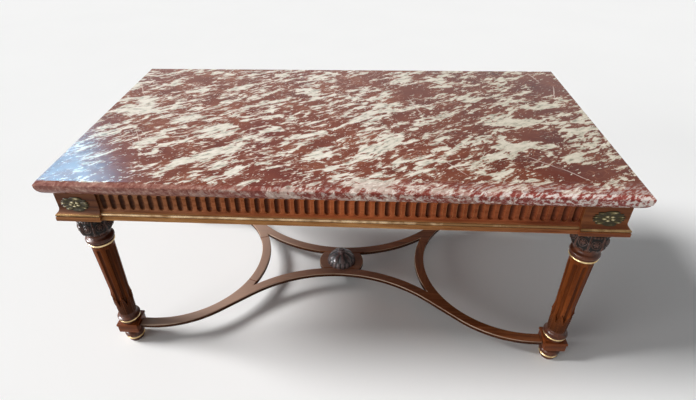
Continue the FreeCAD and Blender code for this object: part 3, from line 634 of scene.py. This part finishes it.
def brass(name, dull, plain, bright, shade_to_right=0.0):
    """Rubbed brass with browner spots, darkened towards the right by painted shade where a shade to the right
    is given.
    """
    n = new_material(name)
    place = n.where()
    tarnish = n.noise(place, 45, 5, 0.6)
    # painted shade: the brass darkens towards the right
    if shade_to_right:
        tarnish = n.sums("SUBTRACT", tarnish, n.between(n.axis(place, "X"), 0.0, 0.45, 0.0, shade_to_right))
    colour = n.ramp(tarnish, (0.32, dull), (0.55, plain), (0.75, bright))
    rough = n.between(tarnish, 0.3, 0.7, 0.42, 0.2)
    return n.finish(colour, rough, n.noise(place, 700, 3), 0.08 * MM, Metallic=1.0)


def bronze():
    """Cast bronze gone olive, with near-black hollows and pale high places, partly rubbed metal and partly a
    painted highlight.
    """
    n = new_material("aged_bronze")
    mottle = n.noise(n.where(), 260, 4, 0.6)
    # pale high places: partly rubbed metal, partly a painted highlight
    raised = n.sums("MULTIPLY", n.sums("SUBTRACT", 1.0, n.carved()), 0.7)
    colour = n.ramp(n.sums("ADD", raised, n.sums("MULTIPLY", mottle, 0.45)),
                    (0.42, (0.032, 0.025, 0.009)), (0.70, (0.170, 0.134, 0.050)), (0.95, (0.74, 0.66, 0.41)))
    rough = n.between(mottle, 0.3, 0.7, 0.32, 0.55)
    return n.finish(colour, rough, mottle, 0.3 * MM, Metallic=0.25, Specular_IOR_Level=0.3)


def pale_floor():
    """Plain pale studio floor, pale to the eye and in reflections, duller in the light it throws back."""
    n = new_material("studio_floor")
    tone = n.ramp(n.noise(n.where(), 2.0, 2), (0.3, (0.930, 0.936, 0.942)), (0.7, (0.942, 0.948, 0.954)))
    thrown = (0.40, 0.40, 0.40)
    return n.finish(n.mix(n.seen(), thrown, tone), 0.9, Specular_IOR_Level=0.1)


MARBLE = marble()
BLOCK_WOOD = wood("block_mahogany", "X", WARM, gloss=0.12, polish=0.05,
                  dress=partial(apron_dress, BLOCK_STAINS_AND_PAINTED_LIGHT))
RAIL_X = wood("rail_mahogany_x", "X", GOLDEN, shade=0.8, gloss=0.07, polish=0.02,
              dress=partial(apron_dress, FRIEZE_STAINS_AND_PAINTED_LIGHT))
RAIL_Y = wood("rail_mahogany_y", "Y", GOLDEN, shade=0.8, gloss=0.07, polish=0.02,
              dress=partial(apron_dress, END_STAINS_AND_PAINTED_SHEEN))
TURNED_WOOD = wood("turned_mahogany", "Z", DARK_RED, gloss=0.2, polish=0.16)
PLINTH_WOOD = wood("plinth_mahogany", "X", RED, gloss=0.12, polish=0.05)
LEG_WOOD = wood("leg_mahogany", "Z", RED, shade=0.45, gloss=0.05, polish=0.0, dress=leg_dress)
STRETCHER_X = wood("stretcher_mahogany_x", "X", BROWN, gloss=0.08, polish=0.0, dress=board_dress)
STRETCHER_Y = wood("stretcher_mahogany_y", "Y", BROWN, gloss=0.08, polish=0.0, dress=board_dress)
BEARER_WOOD = wood("bearer_pine", "Y", PINE, polish=0.0)
CARVING = carved_wood("carved_mahogany", (0.050, 0.022, 0.016), (0.165, 0.080, 0.060), (0.005, 0.003, 0.002),
                      gloss=0.22)
BOSS = carved_wood("finial_mahogany", (0.050, 0.027, 0.025), (0.230, 0.155, 0.155), (0.004, 0.002, 0.002),
                   gloss=0.35)
RING_BRASS = brass("ring_brass", (0.45, 0.30, 0.13), (0.72, 0.54, 0.28), (0.88, 0.72, 0.45))
BEAD_BRASS = brass("bead_brass", (0.21, 0.115, 0.05), (0.58, 0.42, 0.25), (0.82, 0.67, 0.45), shade_to_right=0.3)
BLOCK_BRASS = brass("block_bead_brass", (0.11, 0.062, 0.024), (0.21, 0.125, 0.053), (0.38, 0.25, 0.12))
BRONZE = bronze()


# Pieces

def build_slab():
    """Marble slab: upper arris bevelled, well rounded under."""
    half_x = (slab_high.x - slab_low.x) / 2
    half_y = (slab_high.y - slab_low.y) / 2
    bevel_foot = slab_high.z - SLAB_BEVEL
    profile = outline(
        (SLAB_ROUND, slab_low.z), (0, slab_low.z + SLAB_ROUND, -QUARTER_ROUND), (0, bevel_foot - SLAB_SOFT),
        (SLAB_SOFT, bevel_foot + SLAB_SOFT, -EIGHTH_ROUND), (SLAB_BEVEL - SLAB_SOFT, slab_high.z - SLAB_SOFT),
        (SLAB_BEVEL + SLAB_SOFT, slab_high.z, -EIGHTH_ROUND), steps=10)
    shape = Shape()
    moulded_block(shape, profile, half_x, half_y, SLAB_CORNER)
    shape.piece("marble_slab", MARBLE, ["marble_top"], body="marble_top")


def face_depth(high):
    """Give the depth of the apron's face behind the fascia at a height above the bead: cove, then frieze."""
    below = max(COVE_TOP - high, 0.0)
    return FRIEZE - COVE_RADIUS + math.sqrt(COVE_RADIUS ** 2 - below ** 2)


def apron_moulding(top):
    """List the apron's profile from its foot up the cove to a top, as (depth behind the fascia, height)."""
    foot = outline(
        (FASCIA_EASE, 0), (0, FASCIA_EASE, 0.2), (0, FASCIA - FASCIA_EASE), (FASCIA_EASE, FASCIA, 0.2),
        (BEAD_SEAT, FASCIA), (BEAD_SEAT, BEAD_TOP))
    return foot + [(face_depth(high), high) for high in steps_between(BEAD_TOP, top, 10)]


def flute_columns(length, flutes):
    """List the columns of a fluted face: place across, share of the flute's depth, and painted shade on its
    left side.
    """
    pitch = length / flutes
    half = length / 2
    columns = [(-half, 0.0, 0.0)]
    for number in range(flutes):
        middle = (number + 0.5) * pitch - half
        for share in steps_between(0, 1, 10):
            turn = math.pi * (share - 0.5)
            # painted shade: the left side of each flute is darkened, as if lit from the left
            darkening = (0.5 - 0.5 * math.sin(turn)) ** 0.6
            columns.append((middle + FLUTE_HALF * math.sin(turn), max(math.cos(turn), 0.0), darkening))
    columns.append((half, 0.0, 0.0))
    return columns


def flute_line(at, across, hollow, darkening):
    """List the points of one column up a fluted face, scooped at both ends of the flute."""
    def spot(high, sunk):
        # the depth of carving carries the painted shade of the flute's left side
        return at(across, face_depth(high) + FLUTE_DEPTH * sunk, high), min(1.6 * sunk, 1) * darkening

    turns = steps_between(0, math.pi / 2, 6)
    scoop = [(1 - hollow * math.cos(turn), hollow * math.sin(turn)) for turn in turns]
    low = [spot(FLUTE_LOW + FLUTE_HALF * rise, sunk) for rise, sunk in scoop]
    high = [spot(FLUTE_HIGH - FLUTE_HALF * rise, sunk) for rise, sunk in reversed(scoop)]
    return [spot(FLUTE_FOOT, 0.0), *low, *high, (at(across, *FRIEZE_HEAD[0]), 0.0)]


def build_rail(name, origin, along, inward, length, flutes, material):
    """Rail of the apron: moulded foot, and a row of hollow flutes with scooped ends."""
    def at(across, deep, high):
        return origin + along * across + inward * deep + UP * high

    half = length / 2
    foot = apron_moulding(FLUTE_FOOT)
    back = [*FRIEZE_HEAD, (RAIL_THICK, APRON), (RAIL_THICK, 0), foot[0]]
    shape = Shape()
    for profile in (foot, back):
        shape.grid([[(at(-half, *spot), 0), (at(half, *spot), 0)] for spot in profile])
    shape.grid([flute_line(at, *column) for column in flute_columns(length, flutes)])
    shape.piece(f"{name}_fluted", material, [name])


def build_rails():
    front_length = 2 * (leg_x - block_half)
    end_length = 2 * (leg_y - block_half)
    foot = UP * apron_low
    build_rail("front_rail", ASIDE * rail_low.y + foot, ALONG, ASIDE, front_length, FRONT_FLUTES, RAIL_X)
    build_rail("rear_rail", -ASIDE * rail_low.y + foot, -ALONG, -ASIDE, front_length, FRONT_FLUTES, RAIL_X)
    build_rail("left_rail", ALONG * end_low.x + foot, -ASIDE, ALONG, end_length, END_FLUTES, RAIL_Y)
    build_rail("right_rail", -ALONG * end_low.x + foot, ASIDE, -ALONG, end_length, END_FLUTES, RAIL_Y)


def build_corner_blocks():
    """Corner blocks: the apron's moulding turns the outer corner of each with a mitre."""
    profile = apron_moulding(COVE_TOP) + FRIEZE_HEAD
    width = 2 * block_half
    for place, (side_x, side_y) in CORNERS.items():
        def at(inset_x, inset_y, high):
            x = side_x * (leg_x + block_half - inset_x)
            y = side_y * (leg_y + block_half - inset_y)
            return Vector((x, y, apron_low + high)), 0.0

        shape = Shape()
        shape.body([
            [at(width, deep, high), at(deep, deep, high), at(deep, width, high), at(width, width, high)]
            for deep, high in profile])
        shape.piece(f"corner_block_{place}_moulded", BLOCK_WOOD, [f"corner_block_{place}"])


def leaf_curl(share, angle):
    """Give the place across the nearest leaf, from -1 to 1, and its number; leaves curl as they grow out."""
    step = 2 * math.pi / ROSETTE_LEAVES
    turned = angle + 0.4 * share * math.sin(2 * angle)
    number = round(turned / step)
    return (turned - number * step) / step * 2, number % ROSETTE_LEAVES


def wreath_height(share, angle):
    """Give the height of a rosette's wreath in millimetres: curled split leaves, some fuller than others."""
    across, number = leaf_curl(share, angle)
    fullness = 0.68 + 0.32 * math.sin(2.4 * number)
    leaf = dome(share - 0.70, 0.29) * (1 - abs(across) ** 1.8)
    curl = ridge(share - 0.82, 0.15) * max(1 - 1.5 * abs(across), 0)
    split = ridge(across, 0.22) * (share < 0.74)
    return fullness * (1.5 * leaf + 1.2 * curl - 0.9 * split * leaf)


def rosette_height(share, angle):
    """Give the height of a cast rosette in millimetres: wreath, five petals, centre bud."""
    petal = abs(math.cos(2.5 * angle + 1.1)) ** 0.8
    petals = 2.4 * petal * dome(share - 0.27, 0.16)
    bud = 2.0 * dome(share, 0.09)
    return max(wreath_height(share, angle), petals, bud, 0.0)


def rosette_ring(share, centre, across, outward):
    """List one ring of a rosette at a share of its half sizes, scalloped, and leaning out over the cove."""
    ring = []
    for angle in even_angles(ROSETTE_SPOKES):
        reach = share * (1 - 0.20 * share ** 5 * abs(leaf_curl(share, angle)[0]) ** 1.5)
        high = rosette_height(share, angle)
        lean = max(-reach * math.sin(angle) - 0.54, 0) * 5.0 * MM
        spot = centre + across * (ROSETTE_WIDE * reach * math.cos(angle))
        spot += UP * (ROSETTE_HIGH * reach * math.sin(angle))
        ring.append((spot + outward * (ROSETTE_PLATE + lean + high * MM * 0.9), 1 - min(high / 2.3, 1.0)))
    return ring


def build_rosettes():
    """Oval cast rosettes on the outer faces of the corner blocks."""
    level = (face_low.z + face_high.z) / 2
    shares = [n / ROSETTE_RINGS for n in range(ROSETTE_RINGS, 0, -1)]
    for place, (side_x, side_y) in CORNERS.items():
        for stem, across, outward in (("face", ALONG, ASIDE * side_y), ("end", ASIDE, ALONG * side_x)):
            centre = Vector((*LEG_PLACES[place], level)) + outward * (block_half - FRIEZE)
            rings = [rosette_ring(share, centre, across, outward) for share in shares]
            foot = [(spot - outward * (spot - centre).dot(outward), 1.0) for spot, _ in rings[0]]
            shape = Shape()
            shape.body([foot] + rings)
            shape.piece(f"rosette_{stem}_{place}", BRONZE, [f"{stem}_rosettes"], crease=60)


def leg_columns():
    """List the angles of a leg's columns: close in the flutes, wider on the ridges between."""
    step = 2 * math.pi / SHAFT_FLUTES
    angles = []
    for number in range(SHAFT_FLUTES):
        middle = number * step
        for share in steps_between(0, 1, 10):
            angles.append(middle + SHAFT_FLUTE_MOUTH * math.sin(math.pi * (share - 0.5)))
        angles += steps_between(middle + SHAFT_FLUTE_MOUTH, middle + step - SHAFT_FLUTE_MOUTH, 6)[1:-1]
    return angles


def sheath_relief(down, off):
    """Give lift and depth on a leaf of the sheath, by the shares below its tip and off its middle."""
    rim = ridge(down - 0.04, 0.05) * 1.7
    rib = ridge(off, 0.12) * 0.8
    veins = 0.35 * math.sin(down * 42 + off * 7) * (off > 0.14)
    lift = 1.1 + rim + rib + veins
    return lift * MM, min(max(1.05 - lift * 0.45, 0), 1)


def shaft_relief(angle, level):
    """Give lift and depth on the shaft: round-headed flutes, rising from a sheath of pointed leaves."""
    leaf_half = math.pi / SHAFT_FLUTES
    off = abs(wrapped(angle + leaf_half, SHAFT_FLUTES)) / leaf_half
    sheath = SHEATH_HIGH - SHEATH_LOW
    tip = SHEATH_HIGH - sheath * 0.46 * off ** 1.4
    if level <= tip:
        return sheath_relief((tip - level) / sheath, off)
    across = abs(wrapped(angle, SHAFT_FLUTES)) / SHAFT_FLUTE_MOUTH
    if across >= 1:
        return 0.0, 0.0
    head = max(level - (SHAFT_FLUTE_HEAD - SHAFT_FLUTE_ROUND), 0) / SHAFT_FLUTE_ROUND
    sunk = math.sqrt(max(1 - across ** 2 - head ** 2, 0))
    return -SHAFT_FLUTE_DEPTH * sunk, sunk


def shaft_profile():
    """List radius and level of the shaft before its relief: close in the sheath and at the flutes' heads."""
    heads_low = SHAFT_FLUTE_HEAD - 6 * MM
    levels = steps_between(SHEATH_LOW, SHEATH_HIGH, 52)
    levels += steps_between(SHEATH_HIGH, heads_low, 8)[1:]
    levels += steps_between(heads_low, SHAFT_FLUTE_HEAD, 8)[1:]
    taper = (SHAFT_TOP_RADIUS - SHAFT_FOOT_RADIUS) / (upper_ring_low.z - SHEATH_LOW)
    return [(SHAFT_FOOT_RADIUS - 1 * MM + taper * (level - SHEATH_LOW), level) for level in levels]


def base_profile():
    """List the turned base under the shaft, on its ring's seat."""
    low = lower_ring_high.z
    return outline(
        (18 * MM, plinth_high.z), (22.5 * MM, plinth_high.z), (22.5 * MM, low), (25 * MM, low),
        (25.5 * MM, low + 5 * MM, 0.3), (24 * MM, low + 5.6 * MM), (19.5 * MM, SHEATH_LOW - 3.5 * MM, -0.16),
        (20 * MM, SHEATH_LOW - 2.5 * MM, 0.3), (19 * MM, SHEATH_LOW))


def crown_profile():
    """List the bead, torus and neck over the shaft's upper ring."""
    low = upper_ring_high.z
    return outline(
        (SHAFT_TOP_RADIUS, low), (27.5 * MM, low), (27.5 * MM, low + 2.4 * MM, 0.4),
        (26.6 * MM, low + 2.8 * MM), (26 * MM, low + 13 * MM, 0.38), (24.5 * MM, low + 14 * MM),
        (24 * MM, NECK_HIGH, -0.22), (20 * MM, NECK_HIGH))


def collar_profile():
    """List the collar under the corner block."""
    return outline(
        (20 * MM, COLLAR_LOW), (29 * MM, COLLAR_LOW), (29 * MM, COLLAR_LOW + 5 * MM, 0.3),
        (28 * MM, COLLAR_LOW + 5.6 * MM), (30 * MM, apron_low, -0.12), (20 * MM, apron_low))


def build_legs():
    """Turned legs: base, fluted shaft with a leaf sheath, ring seat, torus, neck, bulb and collar."""
    shaft = shaft_profile()
    seat = [shaft[-1], (SHAFT_TOP_RADIUS, upper_ring_low.z), (SHAFT_TOP_RADIUS, upper_ring_high.z)]
    round_columns = even_angles(TURNED_COLUMNS)
    for place, centre in LEG_PLACES.items():
        shape = Shape()
        lathe(shape, shaft, centre, leg_columns(), shaft_relief)
        lathe(shape, seat, centre, round_columns)
        shape.piece(f"leg_{place}", LEG_WOOD, ["legs"])
        turnings = Shape()
        for profile in (base_profile(), crown_profile(), collar_profile()):
            lathe(turnings, profile, centre, round_columns)
        turnings.piece(f"leg_turnings_{place}", TURNED_WOOD, ["legs"])
        build_bulb(place, centre)


def flower_height(aside, up):
    """Give the height of a carved flower in millimetres: rim, six petals and a bud."""
    reach = math.hypot(aside, up)
    high = 1.5 * ridge(reach - 8.8, 1.6)
    if reach < 7.2:
        petals = abs(math.cos(3 * math.atan2(up, aside))) ** 0.5
        high = max(high, 1.5 * petals * math.sin(math.pi * reach / 7.2))
    if reach < 2.4:
        high = max(high, 2.0 * dome(reach, 2.4))
    return high


def bulb_relief(angle, level):
    """Give lift and depth on the carved bulb: flowers between upright leaves, lobes under, beads over."""
    aside = wrapped(angle, BULB_FLOWERS) * BULB_RADIUS
    beside = wrapped(angle + math.pi / BULB_FLOWERS, BULB_FLOWERS) * BULB_RADIUS
    up = (level - (NECK_HIGH + COLLAR_LOW) / 2) / MM
    leaf_wide = 4.6 * dome(up - 2, 17)
    leaf = 1.6 * ridge(beside, leaf_wide) + 0.6 * ridge(beside, 0.9) if leaf_wide > 0.3 else 0
    lobes = 1.5 * abs(math.cos(BULB_FLOWERS * angle)) ** 0.6 * dome(up + 17, 7)
    beads = 1.0 * abs(math.cos(2 * BULB_FLOWERS * angle)) ** 0.5 * dome(up - 19, 3)
    lift = max(flower_height(aside, up - 3), leaf, lobes, beads)
    return (lift * 1.5 - 1.2) * MM, 1 - min(lift / 1.5, 1.0)


def build_bulb(place, centre):
    """Carved bulb under a leg's collar."""
    profile = outline(
        (23.5 * MM, NECK_HIGH), (31.2 * MM, NECK_HIGH + 28 * MM, 0.22), (29 * MM, COLLAR_LOW, 0.14), steps=30)
    shape = Shape()
    lathe(shape, profile, centre, even_angles(CARVED_COLUMNS), bulb_relief)
    shape.piece(f"leg_bulb_{place}", CARVING, ["legs"], crease=70)


def build_rings():
    """Half-round brass rings at the head and foot of each shaft and round each bun foot."""
    for node, low, high in (
            ("upper_rings", upper_ring_low, upper_ring_high),
            ("lower_rings", lower_ring_low, lower_ring_high),
            ("foot_rings", foot_ring_low, foot_ring_high)):
        outer = high.x - leg_x
        inner = outer - 3 * MM
        side = outer - 2 * MM
        profile = outline((inner, low.z), (side, low.z), (side, high.z, 0.4), (inner, high.z))
        for place, centre in LEG_PLACES.items():
            shape = Shape()
            lathe(shape, profile, centre, even_angles(TURNED_COLUMNS))
            shape.piece(f"{node[:-1]}_{place}", RING_BRASS, [node])


def build_plinths():
    """Square plinths with a quirk under the upper lip."""
    half = (plinth_high.x - plinth_low.x) / 2
    low = plinth_low.z
    high = plinth_high.z
    profile = outline(
        (4 * MM, low), (2 * MM, low + 1.6 * MM, -0.2), (2 * MM, high - 9.5 * MM), (3.2 * MM, high - 8.4 * MM),
        (3.2 * MM, high - 7.4 * MM), (0.4 * MM, high - 6.6 * MM), (0.4 * MM, high - 2 * MM),
        (2.4 * MM, high, -0.2))
    for place, centre in LEG_PLACES.items():
        shape = Shape()
        moulded_block(shape, profile, half, half, 0.8 * MM, centre)
        shape.piece(f"plinth_{place}_moulded", PLINTH_WOOD, [f"plinth_{place}"])


def build_feet():
    """Turned bun feet."""
    top = plinth_low.z
    profile = outline(
        (15 * MM, 0), (17 * MM, 0), (19 * MM, foot_ring_low.z, 0.1), (19 * MM, foot_ring_high.z),
        (21 * MM, foot_ring_high.z), (20.5 * MM, top - 9 * MM, 0.2), (15.5 * MM, top - 3 * MM, -0.15),
        (17.5 * MM, top))
    for place, centre in LEG_PLACES.items():
        shape = Shape()
        lathe(shape, profile, centre, even_angles(TURNED_COLUMNS))
        shape.piece(f"bun_foot_{place}", TURNED_WOOD, ["bun_feet"])


def finial_relief(angle, level):
    """Give lift and depth on the finial: lobed bud, ribbed petals, scallops over a plain foot."""
    share = (level - finial_low.z) / (finial_high.z - finial_low.z)
    across = abs(wrapped(angle, FINIAL_PETALS)) * FINIAL_PETALS / math.pi
    rim = abs(wrapped(angle, FINIAL_SCALLOPS)) * FINIAL_SCALLOPS / math.pi
    deepest = 2.6
    if share > 0.8:
        lift = 0.8 * abs(math.cos(2.5 * angle)) - 0.8
    elif share > 0.52:
        lift = 1.9 * (1 - across ** 2) + 0.7 * ridge(across, 0.2) - deepest
    elif share > 0.12:
        lift = deepest * (1 - rim ** 2) * dome(share - 0.32, 0.22) - deepest
    else:
        lift = 0.0
    return lift * MM, min(max(-lift / deepest, 0), 1)


def build_finial():
    """Carved boss on the hub: long petals that radiate from a small bud down to a scalloped rim."""
    foot = finial_low.z
    tall = finial_high.z - foot
    wide = (finial_high.x - finial_low.x) / 2
    body = outline(
        (0.9 * wide, foot), (wide, foot + 0.06 * tall, 0.4), (0.92 * wide, foot + 0.12 * tall, 0.4),
        (wide, foot + 0.2 * tall, 0.1), (0.30 * wide, foot + 0.80 * tall, 0.17), steps=20)
    bud = outline((0.24 * wide, foot + 0.82 * tall), (0.04 * wide, foot + tall, 0.4), steps=12)
    shape = Shape()
    lathe(shape, body + bud, (0, 0), even_angles(CARVED_COLUMNS), finial_relief)
    shape.piece("finial_carved", BOSS, ["finial"], crease=70)


def ease_arrises(board):
    """Join a sawn board's faces, flatten them and round its arrises, by modifiers alone."""
    joined = board.modifiers.new("joined_faces", "WELD")
    joined.merge_threshold = 0.01 * MM
    flat = board.modifiers.new("flat_faces", "DECIMATE")
    flat.decimate_type = "DISSOLVE"
    flat.angle_limit = math.radians(1)
    ease = board.modifiers.new("eased_arris", "BEVEL")
    ease.width = 2.2 * MM
    ease.segments = 3
    ease.use_clamp_overlap = False
    ease.limit_method = "ANGLE"
    ease.angle_limit = math.radians(40)


def dress_boards():
    """Ease the boards of the stretcher, and finish the solids that stay as they are."""
    for name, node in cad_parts.items():
        slot = node.material_slots[0]
        if "stretcher" in name:
            ease_arrises(node)
            slot.material = STRETCHER_Y if "end" in name else STRETCHER_X
        elif "bearer" in name:
            slot.material = BEARER_WOOD
        elif "bead" in name:
            slot.material = BLOCK_BRASS if "block" in name else BEAD_BRASS


# Studio

# Camera fitted to the photograph: its pixels, sensor in millimetres, place in metres, turns in degrees
PHOTO_WIDTH = 696
FOCAL_LENGTH = 488.5
CENTRE_COLUMN = 331.7
SENSOR_WIDTH = 36.0
CAMERA_PLACE = (0.0615, -1.0315, 0.9895)
CAMERA_TURN = 4.73
CAMERA_TILT = -35.07
CAMERA_LEAN = 1.28


def build_floor():
    """Plain square floor round the origin."""
    reach = 9.0
    mesh = bpy.data.meshes.new("studio_floor")
    corners = [(-reach, -reach, 0), (reach, -reach, 0), (reach, reach, 0), (-reach, reach, 0)]
    mesh.from_pydata(corners, [], [(0, 1, 2, 3)])
    mesh.materials.append(pale_floor())
    floor = bpy.data.objects.new("studio_floor", mesh)
    bpy.context.scene.collection.objects.link(floor)


def build_world():
    """Even pale surroundings: seen as near white, and a soft fill for the object."""
    n = Nodes(bpy.data.worlds.new("studio"))
    fill = n.node("Background", inputs={"Color": (0.96, 0.98, 1.0, 1), "Strength": 0.14})
    pale = n.node("Background", inputs={"Color": (0.887, 0.887, 0.887, 1)})
    choice = n.node("MixShader", inputs={0: n.seen(), 1: fill, 2: pale})
    n.feed(n.tree.nodes["World Output"].inputs["Surface"], choice)
    bpy.context.scene.world = n.owner


def add_lamp(name, kind, place, target, power, colour):
    """Hang a lamp at a place and turn it to a target."""
    lamp = bpy.data.objects.new(name, bpy.data.lights.new(name, kind))
    lamp.data.energy = power
    lamp.data.color = colour
    lamp.location = place
    lamp.rotation_euler = (Vector(target) - Vector(place)).to_track_quat("-Z", "Y").to_euler()
    bpy.context.scene.collection.objects.link(lamp)
    return lamp


def build_suns():
    """Broad key from the left, and a weaker broad fill from the front left."""
    for name, place, power, spread, colour in (
            ("key", (-2.3, 0.0, 2.2), 3.5, 20, (1.0, 0.99, 0.975)),
            ("fill", (-2.3, -1.7, 0.66), 1.8, 34, (1.0, 0.985, 0.96))):
        sun = add_lamp(name, "SUN", place, (0, 0, 0.2), power, colour)
        sun.data.angle = math.radians(spread)


def build_panes():
    """Two panes that light only gloss: a cool sheen on the slab's left corner, and glints on the carving."""
    for name, place, target, width, power, spread, colour in (
            ("window", (-2.15, 1.57, 1.75), (-0.57, -0.30, 0.5), 0.7, 0.62, 24, (0.26, 0.68, 1.0)),
            ("glints", (-2.3, -0.45, 1.02), (0, -0.1, 0.15), 0.5, 13.0, 60, (0.94, 0.95, 1.0))):
        pane = add_lamp(name, "AREA", place, target, power, colour)
        pane.data.size = width
        pane.data.spread = math.radians(spread)
        pane.visible_diffuse = False


def build_camera():
    """Camera of the photograph, upright first, then leaned, tilted and turned."""
    data = bpy.data.cameras.new("camera")
    data.sensor_width = SENSOR_WIDTH
    data.lens = FOCAL_LENGTH / PHOTO_WIDTH * SENSOR_WIDTH
    data.shift_x = (PHOTO_WIDTH / 2 - CENTRE_COLUMN) / PHOTO_WIDTH
    data.clip_start = 0.01
    turn = Matrix()
    for angle, axis in ((CAMERA_TURN, "Z"), (CAMERA_TILT, "X"), (CAMERA_LEAN, "Y"), (90, "X")):
        turn = turn @ Matrix.Rotation(math.radians(angle), 4, axis)
    camera = bpy.data.objects.new("camera", data)
    camera.matrix_world = Matrix.Translation(CAMERA_PLACE) @ turn
    bpy.context.scene.collection.objects.link(camera)
    bpy.context.scene.camera = camera


build_slab()
build_rails()
build_corner_blocks()
build_rosettes()
build_legs()
build_rings()
build_plinths()
build_feet()
build_finial()
dress_boards()
build_floor()
build_world()
build_suns()
build_panes()
build_camera()
bpy.context.scene.view_settings.view_transform = "Standard"
